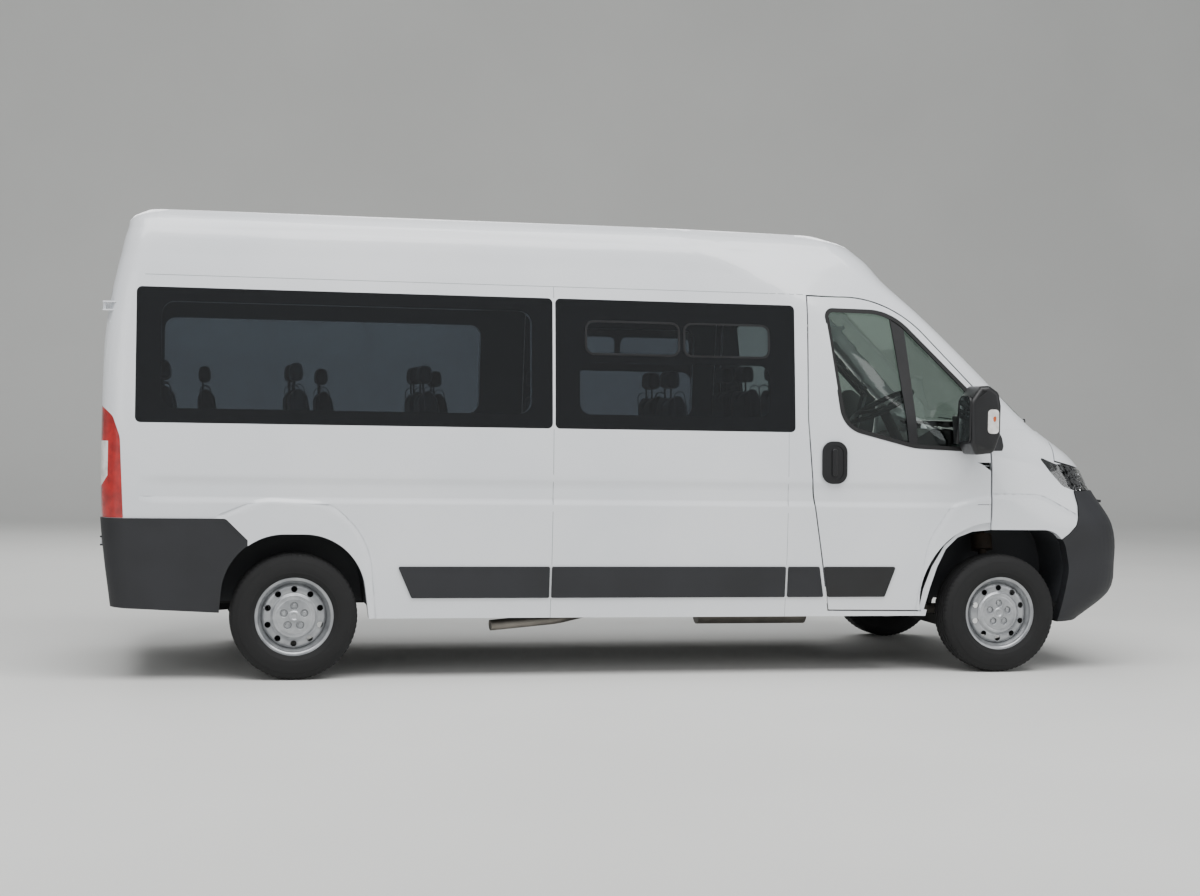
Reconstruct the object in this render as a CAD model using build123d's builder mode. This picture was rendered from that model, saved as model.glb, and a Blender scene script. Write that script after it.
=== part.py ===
from build123d import *
from math import cos, pi, radians, sin
import os

# High-roof long-wheelbase minibus.  Millimetres.  +X forward, +Y to its left, +Z up.
# Origin on the ground, at mid length on the centre plane.
# Driver on the right (-Y).  The sliding side door is on the left (+Y) and stands closed.

# ---------------------------------------------------------------- driving sizes
length = 5998.0
wheelbase = 4035.0
rear_overhang = 1015.0
track_front = 1810.0
track_rear = 1790.0
wall = 60.0            # body wall, outer skin to inner trim
skin = 12.0            # outer flange of a door, which laps its opening
glass = 5.0
seat_gap = 0.3         # clearance where one fixed piece seats on another
door_gap = 8.0         # shut line round a moving panel
seam = 4.0             # open seam between two fixed panels
run_gap = 0.05         # radial running clearance of a shaft

tail_x = -length / 2
nose_x = length / 2
rear_axle_x = tail_x + rear_overhang
front_axle_x = rear_axle_x + wheelbase

# ---------------------------------------------------------------- body envelope
# Level sections, bottom to top.  Each is a polygon with rounded corners, the same on both sides.
# columns: height, tail x, tail corner r, half width, x where the nose taper starts,
#          x of the front corner, its half width, bulge of the front at mid width, front corner r
section_rows = [
    (285, -2922, 90, 984, 2150, 2610, 900, 120, 300),
    (450, -2943, 100, 1000, 2250, 2815, 925, 155, 330),
    (620, -2966, 110, 1014, 2300, 2842, 930, 161, 330),
    (860, -2991, 120, 1022, 2280, 2815, 930, 165, 330),
    (1040, -2999, 120, 1025, 2150, 2680, 905, 215, 300),
    (1220, -2999, 125, 1020, 2050, 2570, 880, 230, 280),
    (1430, -2998, 125, 1009, 1560, 2290, 880, 200, 240),
    (1600, -2996, 130, 993, 1300, 2105, 870, 190, 210),
    (1850, -2985, 130, 967, 1100, 1845, 835, 180, 200),
    (2085, -2950, 130, 938, 900, 1590, 800, 165, 200),
    (2250, -2915, 130, 910, 600, 1400, 770, 160, 220),
    (2400, -2878, 130, 876, 300, 1265, 720, 150, 250),
    (2475, -2845, 120, 835, 200, 1150, 690, 140, 260),
    (2510, -2780, 110, 770, 100, 1040, 640, 120, 240),
    (2524, -2600, 90, 640, 0, 850, 520, 100, 200),
]
taper_r = 1500.0       # blend of the side into the nose taper
brow_r = 900.0         # blend of the front at mid width
roof_bend_z = (2300.0, 2500.0)     # over this height the wall turns into the roof


def envelope(inset):
    """Solid body shape, with its sides moved in and its roof moved down by inset."""
    levels = []
    for z, x_tail, r_tail, w, x_taper, x_corner, w_corner, bulge, r_corner in section_rows:
        x_t, w_s = x_tail + inset, w - inset
        x_c, w_c = x_corner - 1.15 * inset, w_corner - inset
        outline = [(x_t, w_s), (x_taper, w_s), (x_c, w_c), (x_c + bulge, 0),
                   (x_c, -w_c), (x_taper, -w_s), (x_t, -w_s)]
        r_t = max(r_tail - inset, 20)
        drop = inset * min(1, max(0, (z - roof_bend_z[0]) / (roof_bend_z[1] - roof_bend_z[0])))
        with BuildSketch(Plane.XY.offset(z - drop)) as level:
            with BuildLine():
                FilletPolyline(*outline, close=True,
                               radius=[r_t, taper_r, r_corner, brow_r, r_corner, taper_r, r_t])
            make_face()
        levels.append(level.sketch)
    return loft(sections=levels, ruled=True)


proud = -8.0           # bumpers, arch flares and rubbing strips stand this far out
outer = envelope(0)
inner = envelope(wall)
under_glass = envelope(glass + seat_gap)
glass_back = envelope(glass)
door_flange = envelope(skin)
proud_face = envelope(proud)
trim_face = envelope(wall + seat_gap)
seat_face = envelope(-seat_gap)
bonnet_under = envelope(28)
wing_back = envelope(40)
rear_flange = envelope(2 * skin)
door_glass_back = envelope(skin + glass)


# ---------------------------------------------------------------- shape helpers
def side_prism(outline, y_low, y_high, grow=0.0):
    """Solid with a sketch's outline seen from the side (X, Z), between two Y planes."""
    with BuildPart() as prism:
        with BuildSketch(Plane.XZ.offset(-y_high)):
            add(outline)
            if grow:
                offset(amount=grow, kind=Kind.INTERSECTION)
        extrude(amount=y_high - y_low)
    return prism.part


def end_prism(outline, x_low, x_high, grow=0.0):
    """Solid with a sketch's outline seen from the end (Y, Z), between two X planes."""
    with BuildPart() as prism:
        with BuildSketch(Plane.YZ.offset(x_low)):
            add(outline)
            if grow:
                offset(amount=grow, kind=Kind.INTERSECTION)
        extrude(amount=x_high - x_low)
    return prism.part


def plan_prism(outline, z_low, z_high, grow=0.0):
    """Solid with a sketch's outline seen from above (X, Y), between two levels."""
    with BuildPart() as prism:
        with BuildSketch(Plane.XY.offset(z_low)):
            add(outline)
            if grow:
                offset(amount=grow, kind=Kind.INTERSECTION)
        extrude(amount=z_high - z_low)
    return prism.part


def rounded(points, radii):
    """Closed sketch on its own plane, through points, with a radius at each corner."""
    with BuildSketch() as shape:
        with BuildLine():
            FilletPolyline(*points, radius=radii, close=True)
        make_face()
    return shape.sketch


def block(x, y, z):
    """Box between three pairs of limits."""
    return Pos((x[0] + x[1]) / 2, (y[0] + y[1]) / 2, (z[0] + z[1]) / 2) * Box(
        x[1] - x[0], y[1] - y[0], z[1] - z[0], mode=Mode.PRIVATE)


def rod(start, end, radius):
    """Round bar between two points."""
    axis = Vector(*end) - Vector(*start)
    return Plane(origin=start, z_dir=axis) * Cylinder(
        radius, axis.length, align=(Align.CENTER, Align.CENTER, Align.MIN), mode=Mode.PRIVATE)


def skin_piece(region, front_face, back_face):
    """The part of a region that lies between two envelopes."""
    with BuildPart() as piece:
        add(region)
        add(front_face, mode=Mode.INTERSECT)
        add(back_face, mode=Mode.SUBTRACT)
    return piece.part


def cut(base, *tools):
    """Base less each of the tools."""
    with BuildPart() as piece:
        add(base)
        for tool in tools:
            add(tool, mode=Mode.SUBTRACT)
    return piece.part


def other_side(piece):
    return mirror(piece, about=Plane.XZ)


def finish(name, *pieces):
    """Label a node made of one or more separate solids and write it."""
    node = Compound(children=[s for piece in pieces for s in piece.solids()])
    node.label = name
    export_step(node, f"parts/{name}.step")
    return node


os.makedirs("parts", exist_ok=True)
far_y = 1300.0         # beyond either side of the body
mid_y = 500.0          # side pieces are taken from outside this

# ---------------------------------------------------------------- outlines seen from the side
roof_joint_z = 2152.0
sill_z = 345.0
pillar_x = 870.0       # front door's rear edge at the window line
hinge_x = 1966.0       # front door's front edge

with BuildSketch() as door_sketch:
    with BuildLine():
        Polyline((hinge_x, 868), (hinge_x, 1577), (1600, 1946))
        ThreePointArc((1600, 1946), (1373, 2095), (1079, 2141))
        Polyline((1079, 2141), (pillar_x + 4, 2141), (pillar_x, 1450), (904, 1023), (1012, 368), (1558, 363))
        ThreePointArc((1558, 363), (1688, 742), (hinge_x, 868))
    make_face()
door_outline = door_sketch.sketch

door_window = rounded([(972, 2074), (1400, 2075), (1880, 1615), (1838, 1278), (1500, 1292), (1075, 1398)],
                      [45, 350, 25, 25, 400, 160])
rear_arch = rounded([(-2392, 200), (-2345, 785), (-1650, 785), (-1568, 200)], [5, 330, 330, 5])
front_arch = rounded([(1566, 200), (1692, 826), (2420, 826), (2478, 600), (2420, 200)], [5, 220, 150, 200, 5])

# Flares pressed out of the panels round the wheel arches
rear_flare = rounded([(-2440, 250), (-2440, 868), (-2150, 985), (-1800, 962), (-1592, 760), (-1540, 250)],
                     [5, 90, 260, 260, 420, 5])
front_flare = rounded([(1515, 250), (1590, 760), (1740, 985), (1960, 1034), (2290, 1034), (2560, 900),
                       (2560, 250)], [5, 400, 180, 260, 300, 60, 5])

pane_z = (1369.0, 2085.0)
rear_pane_x = (-2825.0, -600.0)
front_pane_x = (-585.0, 790.0)
hole_z = (1446.0, 2010.0)
rear_hole_x = (-2695.0, -716.0)
front_hole_x = (-470.0, 660.0)


def window(x, z, radius):
    return rounded([(x[0], z[0]), (x[1], z[0]), (x[1], z[1]), (x[0], z[1])], [radius] * 4)


rear_pane = window(rear_pane_x, pane_z, 28)
front_pane = window(front_pane_x, pane_z, 28)
rear_hole = window(rear_hole_x, hole_z, 70)
front_hole = window(front_hole_x, hole_z, 60)

# Unpainted rear corner: up to the lamp, forward to the wheel arch
corner_top_z = 866.0
rear_corner = rounded([(tail_x - 60, corner_top_z), (-2352, corner_top_z), (-2236, 752), (-2236, 380),
                       (-2386, 366), (tail_x - 60, 402)], [2, 30, 5, 5, 5, 2])
lamp_outline = rounded([(tail_x - 60, corner_top_z + 2), (-2879, corner_top_z + 2), (-2900, 1292),
                        (-2938, 1400), (tail_x - 60, 1510)], [2, 4, 120, 60, 2])

# Rear doors, seen from behind
door_half = 872.0
rear_door_z = (606.0, 2244.0)
head_half = 810.0
edge_lean = (door_half - head_half) / (rear_door_z[1] - rear_door_z[0])
rear_opening = rounded([(-door_half, rear_door_z[0]), (door_half, rear_door_z[0]),
                        (head_half, rear_door_z[1]), (-head_half, rear_door_z[1])], [40, 40, 90, 90])

# Windscreen, seen from the front
screen_z = (1452.0, 2240.0)
screen_outline = rounded([(-838, screen_z[0]), (838, screen_z[0]), (690, screen_z[1]), (-690, screen_z[1])],
                         [60, 60, 110, 110])

# ---------------------------------------------------------------- hinges
pin_r = 5.0
sleeve_r = 9.5
sleeve_half = 18.0
leaf_t = 7.0


def hinge(x, y, z, axis="Z"):
    """Sleeve with its bore, and the pin that runs in it, on an upright or a cross axis."""
    plane = Plane(origin=(x, y, z), z_dir=(0, 0, 1) if axis == "Z" else (0, 1, 0))
    with BuildPart() as sleeve:
        with BuildSketch(plane.offset(-sleeve_half)):
            Circle(sleeve_r)
            Circle(pin_r + run_gap, mode=Mode.SUBTRACT)
        extrude(amount=2 * sleeve_half)
    with BuildPart() as pin:
        with BuildSketch(plane.offset(-sleeve_half - seat_gap - leaf_t)):
            Circle(pin_r)
        extrude(amount=2 * (sleeve_half + seat_gap + leaf_t))
    return sleeve.part, pin.part


# ---------------------------------------------------------------- body panels
arch_cuts = [side_prism(rear_arch, -far_y, -mid_y), side_prism(front_arch, -far_y, -mid_y)]
door_hole = side_prism(door_outline, -far_y, -mid_y, grow=door_gap)
corner_cut = side_prism(rear_corner, -far_y, -mid_y, grow=0.6)
lamp_cut = side_prism(lamp_outline, -far_y, -mid_y, grow=seat_gap)
rear_door_cut = end_prism(rear_opening, tail_x - 50, tail_x + 400, grow=door_gap)

tail_axis = (tail_x + 11, -door_half - 4)
tail_hinge_z = (740.0, 1980.0)
notches = [rod((*tail_axis, z - 40), (*tail_axis, z + 40), 15) for z in tail_hinge_z]

pane_recess = cut(side_prism(rear_pane, -far_y, -mid_y, grow=seat_gap), under_glass)
front_pane_recess = cut(side_prism(front_pane, -far_y, -mid_y, grow=seat_gap), under_glass)
rear_hole_cut = side_prism(rear_hole, -far_y, -mid_y)
front_hole_cut = side_prism(front_hole, -far_y, -mid_y)

# Long hollow pressed into the side, under the windows
with BuildPart() as swage_cut:
    with BuildSketch(Plane.YZ.offset(-2800)):
        with BuildLine():
            Polyline((-1100, 1098), (-1026, 1098), (-1015, 1036), (-1015, 985), (-1026, 948),
                     (-1100, 948), close=True)
        make_face()
    extrude(amount=5200)

frame_x = pillar_x + 40
side_block = block((tail_x - 50, frame_x), (-far_y, -600), (sill_z - 15, roof_joint_z))
sill_block = block((frame_x - 5, 1640), (-far_y, -600), (sill_z - 15, sill_z + 20))
pillar_foot = block((frame_x - 5, 1040), (-far_y, -600), (sill_z - 15, 1100))
side_region = side_block + sill_block + pillar_foot
flare_room = side_prism(rear_flare, -far_y, -mid_y) + side_prism(front_flare, -far_y, -mid_y)
beyond = cut(block((tail_x - 60, nose_x + 60), (-far_y, -500), (300, 1500)), outer, flare_room)
side_wall = cut(skin_piece(side_region, proud_face, inner),
                cut(block((tail_x - 60, 1700), (-far_y, -500), (300, roof_joint_z + 10)), outer, flare_room))
tail_sleeves, tail_leaves = [], []
for z in tail_hinge_z:
    x, y = tail_axis
    sleeve, pin = hinge(x, y, z)
    z_arm = (z - sleeve_half, z + sleeve_half)
    edge_y = -door_half + edge_lean * (z - rear_door_z[0])
    tail_sleeves += [sleeve, block((x - 9, x + 9), (y + 7, edge_y + 24), z_arm),
                     block((x - 9, x + 60), (edge_y + 6, edge_y + 24), z_arm)]
    plates = [block((x - 9, x + 80), (y - 30, y + 2), sorted([z + d * (sleeve_half + seat_gap),
                                                              z + d * (sleeve_half + seat_gap + leaf_t)]))
              for d in (-1, 1)]
    tail_leaves.append(plates[0] + plates[1] + pin)

side_cuts = [*arch_cuts, door_hole, corner_cut, lamp_cut, rear_door_cut, pane_recess, rear_hole_cut,
             swage_cut.part, *notches]
side_right = cut(side_wall, *side_cuts, front_pane_recess, front_hole_cut)
side_right = max(side_right.solids(), key=lambda s: s.volume) + tail_leaves[1]
finish("side_panel_right", side_right)

slide_x = (-430.0, 842.0)
slide_z = (430.0, 2120.0)
slide_outline = window(slide_x, slide_z, 60)
slide_pane = window((-395.0, 806.0), pane_z, 28)
slide_hole = window((-300.0, 700.0), hole_z, 60)
slide_cut = side_prism(slide_outline, -far_y, -mid_y, grow=seam)
side_left = cut(side_wall, *side_cuts, slide_cut)
side_left = max(side_left.solids(), key=lambda s: s.volume) + tail_leaves[1]
finish("side_panel_left", other_side(side_left))

slide_wall = skin_piece(side_prism(slide_outline, -far_y, -mid_y), outer, inner)
slide_recess = cut(side_prism(slide_pane, -far_y, -mid_y, grow=seat_gap), under_glass)
slide_door = cut(slide_wall, slide_recess, side_prism(slide_hole, -far_y, -mid_y), swage_cut.part)
finish("sliding_door", other_side(slide_door))

rear_glass_piece = skin_piece(side_prism(rear_pane, -far_y, -mid_y), outer, glass_back)
front_glass_piece = skin_piece(side_prism(front_pane, -far_y, -mid_y), outer, glass_back)
slide_glass_piece = skin_piece(side_prism(slide_pane, -far_y, -mid_y), outer, glass_back)
finish("side_glass_right", rear_glass_piece, front_glass_piece)
finish("side_glass_left", other_side(rear_glass_piece))
finish("sliding_door_glass", other_side(slide_glass_piece))

# Roof, with the windscreen header and the head of the rear opening
screen_hole = end_prism(screen_outline, 900, nose_x + 60, grow=0)
roof_region = block((tail_x - 50, 2000), (-far_y, far_y), (roof_joint_z, 2600))
roof = cut(skin_piece(roof_region, outer, inner), rear_door_cut, screen_hole)
roof = max(roof.solids(), key=lambda s: s.volume)
finish("roof_panel", roof)

# Windscreen pillars and scuttle
scuttle_z = 1405.0
cowl_half = 827.7
cowl_room = block((1900, 2700), (-cowl_half - seat_gap, cowl_half + seat_gap), (scuttle_z - 50, screen_z[0] + 1))
frame_region = block((frame_x, 2600), (-far_y, far_y), (scuttle_z, roof_joint_z))
frame = cut(skin_piece(frame_region, outer, inner), screen_hole, door_hole, other_side(door_hole), cowl_room)
frame_pieces = [s for s in frame.solids() if s.volume > 1e5]
finish("windscreen_frame", *frame_pieces)

screen_region = end_prism(screen_outline, 900, nose_x + 60, grow=-seat_gap)
finish("windscreen", skin_piece(screen_region, outer, glass_back))

# Cowl panel: set below the bonnet and the foot of the windscreen
cowl_region = block((1900, 2700), (-cowl_half, cowl_half), (scuttle_z, screen_z[0] - 4))

# ---------------------------------------------------------------- front end
bonnet_half = 820.0
bonnet_step_x = 2408.0
lamp_top = [(bonnet_step_x, 1226), (nose_x + 60, 1082)]      # shut line over lamps and grille
bonnet_top_z = scuttle_z - door_gap


def bonnet_room(half, x_step, top, drop):
    """Space of the bonnet: narrow between the wings, full width over the lamps."""
    (x0, z0), (x1, z1) = lamp_top
    front = rounded([(x_step, z0 - drop), (x1, z1 - drop), (x1, top), (x_step, top)], [1] * 4)
    ahead = side_prism(front, -far_y, far_y)
    behind = block((2200, x_step + 5), (-half, half), (z0 - drop, top))
    with BuildPart() as room:
        add(ahead)
        add(behind)
    return room.part


bonnet_region = bonnet_room(bonnet_half, bonnet_step_x, bonnet_top_z, 0)
bonnet_cut = bonnet_room(bonnet_half + door_gap, bonnet_step_x - door_gap, scuttle_z + 1, door_gap)
bonnet_skin = skin_piece(bonnet_region, outer, bonnet_under)

bumper_top_z = 1050.0
bumper_seam = rounded([(2395, 752), (2470, 800), (2522, 850), (2539, 906), (2541, 970), (2525, bumper_top_z),
                       (nose_x + 80, bumper_top_z), (nose_x + 80, 200), (2395, 200)],
                      [2, 40, 40, 40, 40, 5, 5, 5, 2])
centre_half = 470.0
grille_outline = rounded([(-600, 700), (600, 700), (720, 985), (-720, 985)], [60, 60, 50, 50])
intake_outline = rounded([(-560, 430), (560, 430), (640, 590), (-640, 590)], [40, 40, 40, 40])
bumper_prism = side_prism(bumper_seam, -far_y, far_y)
bumper_brow = block((2400, nose_x + 60), (-centre_half, centre_half), (bumper_top_z - 5, 1240))
with BuildPart() as bumper_region:
    add(bumper_prism)
    add(bumper_brow)
wheel_room = side_prism(front_arch, -far_y, -560, grow=2)
bumper = cut(skin_piece(bumper_region.part, proud_face, inner), wheel_room, other_side(wheel_room), bonnet_cut,
             end_prism(grille_outline, 2400, nose_x + 100), end_prism(intake_outline, 2400, nose_x + 100))
bumper = max(bumper.solids(), key=lambda s: s.volume)
finish("front_bumper", bumper)

# Slatted grille and lower intake, set back in the bumper's two openings
slat_pitch = 54.0
slat_thick = 18.0
with BuildPart() as slats:
    with BuildSketch(Plane.XY.offset(700)) as slat_plan:
        with BuildLine():
            ThreePointArc((2872, -590), (2936, 0), (2872, 590))
            Line((2872, 590), (2850, 590))
            ThreePointArc((2850, 590), (2914, 0), (2850, -590))
            Line((2850, -590), (2872, -590))
        make_face()
    extrude(amount=12)
    for n in range(1, 6):
        add(Pos(0, 0, n * slat_pitch) * slat_plan.sketch)
        extrude(amount=slat_thick)
finish("grille", slats.part & end_prism(grille_outline, 2400, nose_x + 100, grow=-seat_gap))

lamp_side = rounded([(2292, 1250), (2410, 1206), (nose_x, 1206), (nose_x, bumper_top_z + 4), (2522, bumper_top_z + 4),
                     (2448, 1078), (2365, 1158)], [8, 5, 5, 5, 10, 60, 60])
headlamp = cut(skin_piece(side_prism(lamp_side, -far_y, -centre_half - 4), outer, inner), bonnet_cut)
headlamp = max(headlamp.solids(), key=lambda s: s.volume)
finish("headlamps", headlamp, other_side(headlamp))

hinge_gap = 11.0
wing_region = block((hinge_x + hinge_gap, 2700), (-far_y, -560), (300, scuttle_z - seat_gap))
wing = cut(skin_piece(wing_region, proud_face, wing_back), beyond, bonnet_cut,
           side_prism(lamp_side, -far_y, -400, grow=seat_gap),
           side_prism(bumper_seam, -far_y, -mid_y, grow=seam), arch_cuts[1])
wing = max(wing.solids(), key=lambda s: s.volume)

door_axis = (hinge_x - 45, -1010.0)
door_hinge_z = (930.0, 1170.0)
front_sleeves, front_leaves, front_pockets = [], [], []
for z in door_hinge_z:
    sleeve, pin = hinge(*door_axis, z)
    x, y = door_axis
    front_sleeves += [sleeve, block((x - 42, x - sleeve_r + 2), (y - 7, y + 1), (z - 12, z + 12))]
    front_leaves.append(pin)
    for side in (-1, 1):
        z_leaf = sorted([z + side * (sleeve_half + seat_gap), z + side * (sleeve_half + seat_gap + leaf_t)])
        front_leaves += [block((x - 9, x + 9), (y - 1, y + 56), z_leaf),
                         block((x - 9, hinge_x + 42), (y + 47, y + 56), z_leaf),
                         block((hinge_x + 26, hinge_x + 42), (y + 4, y + 56), z_leaf)]
    front_pockets.append(block((x - 36, x + 50), (y - 9.8, y + 70), (z - 42, z + 42)))

with BuildPart() as wing_node:
    add(wing)
    for leaf in front_leaves:
        add(leaf)
wing_right = wing_node.part
finish("front_wings", wing_right, other_side(wing_right))

# Bonnet hinges, under the cowl
bonnet_axis = (2262.0, 1372.0)
bonnet_hinge_y = 770.0
sleeve, pin = hinge(bonnet_axis[0], -bonnet_hinge_y, bonnet_axis[1], "Y")
y_in, y_out = -bonnet_hinge_y + sleeve_half, -bonnet_hinge_y - sleeve_half
arm = block((bonnet_axis[0] + sleeve_r - 2, bonnet_axis[0] + 98), (y_out, y_in),
            (bonnet_axis[1] - 9, bonnet_axis[1] + 3))
with BuildPart() as bonnet_node:
    add(bonnet_skin)
    for piece in (sleeve, arm):
        add(piece)
        add(other_side(piece))
finish("bonnet", bonnet_node.part)

arm_room = block((1900, 2700), (-cowl_half - 5, -690), (scuttle_z - 5, scuttle_z + 20))
cowl = cut(skin_piece(cowl_region, bonnet_under, inner), arm_room, other_side(arm_room))
cowl = max(cowl.solids(), key=lambda s: s.volume)
leaf_y = (y_out - seat_gap - leaf_t, y_out - seat_gap)
x, z = bonnet_axis
bonnet_leaf = block((x - 40, x + 9), leaf_y, (z - 9, z + 9)) + block((x - 40, x - 12), leaf_y, (z, z + 62))
with BuildPart() as cowl_node:
    add(cowl)
    for piece in (pin, bonnet_leaf):
        add(piece)
        add(other_side(piece))
finish("cowl_panel", cowl_node.part)

# ---------------------------------------------------------------- tail
corner_prism = side_prism(rear_corner, -far_y, -door_half - door_gap - 2)
corner_piece = cut(skin_piece(corner_prism, proud_face, inner), side_prism(rear_arch, -far_y, -mid_y, grow=2),
                   notches[0])
corner_piece = max(corner_piece.solids(), key=lambda s: s.volume) + tail_leaves[0]
step_z = (395.0, rear_door_z[0] - door_gap)
tail_bar = skin_piece(block((tail_x - 50, -2700), (-door_half - door_gap - 2, door_half + door_gap + 2), step_z),
                      proud_face, inner)
finish("rear_bumper", corner_piece, other_side(corner_piece), tail_bar)

tail_lamp = skin_piece(side_prism(lamp_outline, -far_y, -door_half - door_gap - 2), outer, inner)
finish("tail_lamps", tail_lamp, other_side(tail_lamp))

# Rear doors: right leaf, then the left as its mirror
centre_gap = 14.0
leaf_side = block((tail_x - 50, tail_x + 400), (-far_y, -centre_gap / 2), (0, 2600))
leaf_core = block((tail_x - 50, tail_x + 400), (-door_half + 24, -centre_gap / 2 - 20), (0, 2600))
opening_prism = end_prism(rear_opening, tail_x - 50, tail_x + 400)
core_prism = end_prism(rear_opening, tail_x - 50, tail_x + 400, grow=-22)
rear_window = rounded([(-760, 1440), (-110, 1440), (-110, 2010), (-725, 2010)], [60] * 4)
rear_window_hole = end_prism(rear_window, tail_x - 50, tail_x + 400)
rear_skin = cut(skin_piece(opening_prism & leaf_side, door_flange, rear_flange))
rear_core = skin_piece(core_prism & leaf_core, rear_flange, inner)
with BuildPart() as rear_leaf:
    add(rear_skin)
    add(rear_core)
    add(rear_window_hole, mode=Mode.SUBTRACT)
    for piece in tail_sleeves:
        add(piece)
rear_door = rear_leaf.part
finish("rear_door_right", rear_door)
finish("rear_door_left", other_side(rear_door))
rear_pane_piece = skin_piece(end_prism(rear_window, tail_x - 50, tail_x + 400, grow=-seat_gap),
                             door_flange, door_glass_back)
finish("rear_door_glass_right", rear_pane_piece)
finish("rear_door_glass_left", other_side(rear_pane_piece))

# ---------------------------------------------------------------- front doors
door_region = side_prism(door_outline, -far_y, -mid_y)
door_core_region = side_prism(door_outline, -far_y, -mid_y, grow=-22)
window_cut = side_prism(door_window, -far_y, -mid_y)
handle_outline = rounded([(949, 1085), (1090, 1085), (1090, 1317), (949, 1317)], [60] * 4)
handle_cut = cut(side_prism(handle_outline, -far_y, -mid_y), door_flange)
door_skin = cut(skin_piece(door_region, proud_face, door_flange),
                cut(block((800, 2000), (-far_y, -500), (300, 2200)), outer, flare_room))
door_core = skin_piece(door_core_region, door_flange, inner)
with BuildPart() as door_leaf:
    add(door_skin)
    add(door_core)
    for tool in (window_cut, handle_cut, swage_cut.part, *front_pockets):
        add(tool, mode=Mode.SUBTRACT)
    for piece in front_sleeves:
        add(piece)
door_right = max(door_leaf.part.solids(), key=lambda s: s.volume)
finish("front_door_right", door_right)
finish("front_door_left", other_side(door_right))

door_pane = skin_piece(side_prism(door_window, -far_y, -mid_y, grow=-seat_gap), door_flange, door_glass_back)
finish("front_door_glass_right", door_pane)
finish("front_door_glass_left", other_side(door_pane))

# Rubbing strips, handle and quarter-light bar: black trim of the door
strip_z = (440.0, 612.0)
strip_front = rounded([(970, strip_z[1]), (1400, strip_z[1]), (1340, strip_z[0]), (998, strip_z[0])], [10] * 4)
bar_outline = rounded([(1386, 2100), (1470, 2100), (1524, 1250), (1474, 1250)], [2] * 4)
bar_region = side_prism(bar_outline, -far_y, -mid_y) & side_prism(door_window, -far_y, -mid_y, grow=-seat_gap)
strip_piece = skin_piece(side_prism(strip_front, -far_y, -mid_y), proud_face, seat_face)
handle_piece = skin_piece(side_prism(handle_outline, -far_y, -mid_y, grow=-seat_gap), proud_face, door_flange)
bar_piece = skin_piece(bar_region, outer, door_flange)
door_trim = (strip_piece, handle_piece, bar_piece)
finish("door_trim_right", *door_trim)
finish("door_trim_left", *[other_side(p) for p in door_trim])

# columns: top rear, top front, bottom front, bottom rear x of each strip on the body side
side_strips = [(-1437, -604, -604, -1360), (-592, 746, 746, -592), (760, 944, 974, 760)]
strip_solids = []
for top_rear, top_front, low_front, low_rear in side_strips:
    points = [(top_rear, strip_z[1]), (top_front, strip_z[1]), (low_front, strip_z[0]), (low_rear, strip_z[0])]
    region = side_prism(rounded(points, [8] * 4), -far_y, -mid_y)
    strip_solids.append(skin_piece(region, proud_face, seat_face))
finish("side_mouldings", *strip_solids, *[other_side(s) for s in strip_solids])

# Mirrors
mirror_y = (-1254.0, -1058.0)
with BuildPart() as mirror_head:
    with BuildSketch(Plane.XZ.offset(-mirror_y[1])):
        with BuildLine():
            FilletPolyline((1800, 1646), (1852, 1650), (1912, 1612), (1927, 1535), (1925, 1376),
                           (1889, 1270), (1779, 1258), (1748, 1320), (1740, 1560),
                           radius=[20, 30, 40, 60, 60, 40, 20, 30, 60], close=True)
        make_face()
    extrude(amount=mirror_y[1] - mirror_y[0])
    fillet(mirror_head.edges().group_by(Axis.Y)[0], radius=28)
mirror_foot = rounded([(1745, 1480), (1850, 1470), (1850, 1310), (1735, 1320)], [10, 10, 10, 10])
foot_piece = cut(side_prism(mirror_foot, mirror_y[1], -850), seat_face)
mirror_piece = (mirror_head.part + foot_piece).solids()
mirror_solid = max(mirror_piece, key=lambda s: s.volume)
finish("door_mirror_right", mirror_solid)
finish("door_mirror_left", other_side(mirror_solid))

# ---------------------------------------------------------------- floor and chassis
floor_z = (540.0, 580.0)
rear_house_y = 640.0
front_house_y = 590.0
rail_y = (385.0, 465.0)
house_t = 6.0


def wheelhouse(arch, y_inner):
    """Bent sheet over a wheel, with its inner wall."""
    y_outer = 1010
    outside = side_prism(arch, -y_outer, -y_inner, grow=2 + house_t)
    inside = side_prism(arch, -y_outer - 1, -y_inner - house_t, grow=2)
    return cut(outside, inside, block((-3100, 3100), (-far_y, far_y), (0, 395)))


rear_house = wheelhouse(rear_arch, rear_house_y) & trim_face
front_house = wheelhouse(front_arch, front_house_y) & trim_face
floor_box = block((tail_x + 40, 1560), (-far_y, far_y), floor_z)
cab_half = front_house_y + house_t / 2
firewall_x = 2200.0
cab_floor = block((1555, firewall_x + 1), (-cab_half, cab_half), floor_z)
firewall = block((firewall_x, firewall_x + 12), (-cab_half, cab_half), (floor_z[0], 1300))
rail_z = (450.0, 541.0)
rails = [block((tail_x - 50, 2560), rail_y, rail_z), block((2500, 2560), rail_y, (rail_z[0], 690)),
         block((2500, nose_x), rail_y, (600, 690))]
tow_bolt_x = (-2750.0, -2650.0)
tow_bolts = [rod((x, rail_y[0] - 5, 495), (x, rail_y[1] + 5, 495), 6.5) for x in tow_bolt_x]
rail_right = cut((rails[0] + rails[1] + rails[2]) & trim_face, *tow_bolts)
rear_room = side_prism(rear_arch, -far_y, -rear_house_y, grow=2)
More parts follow.
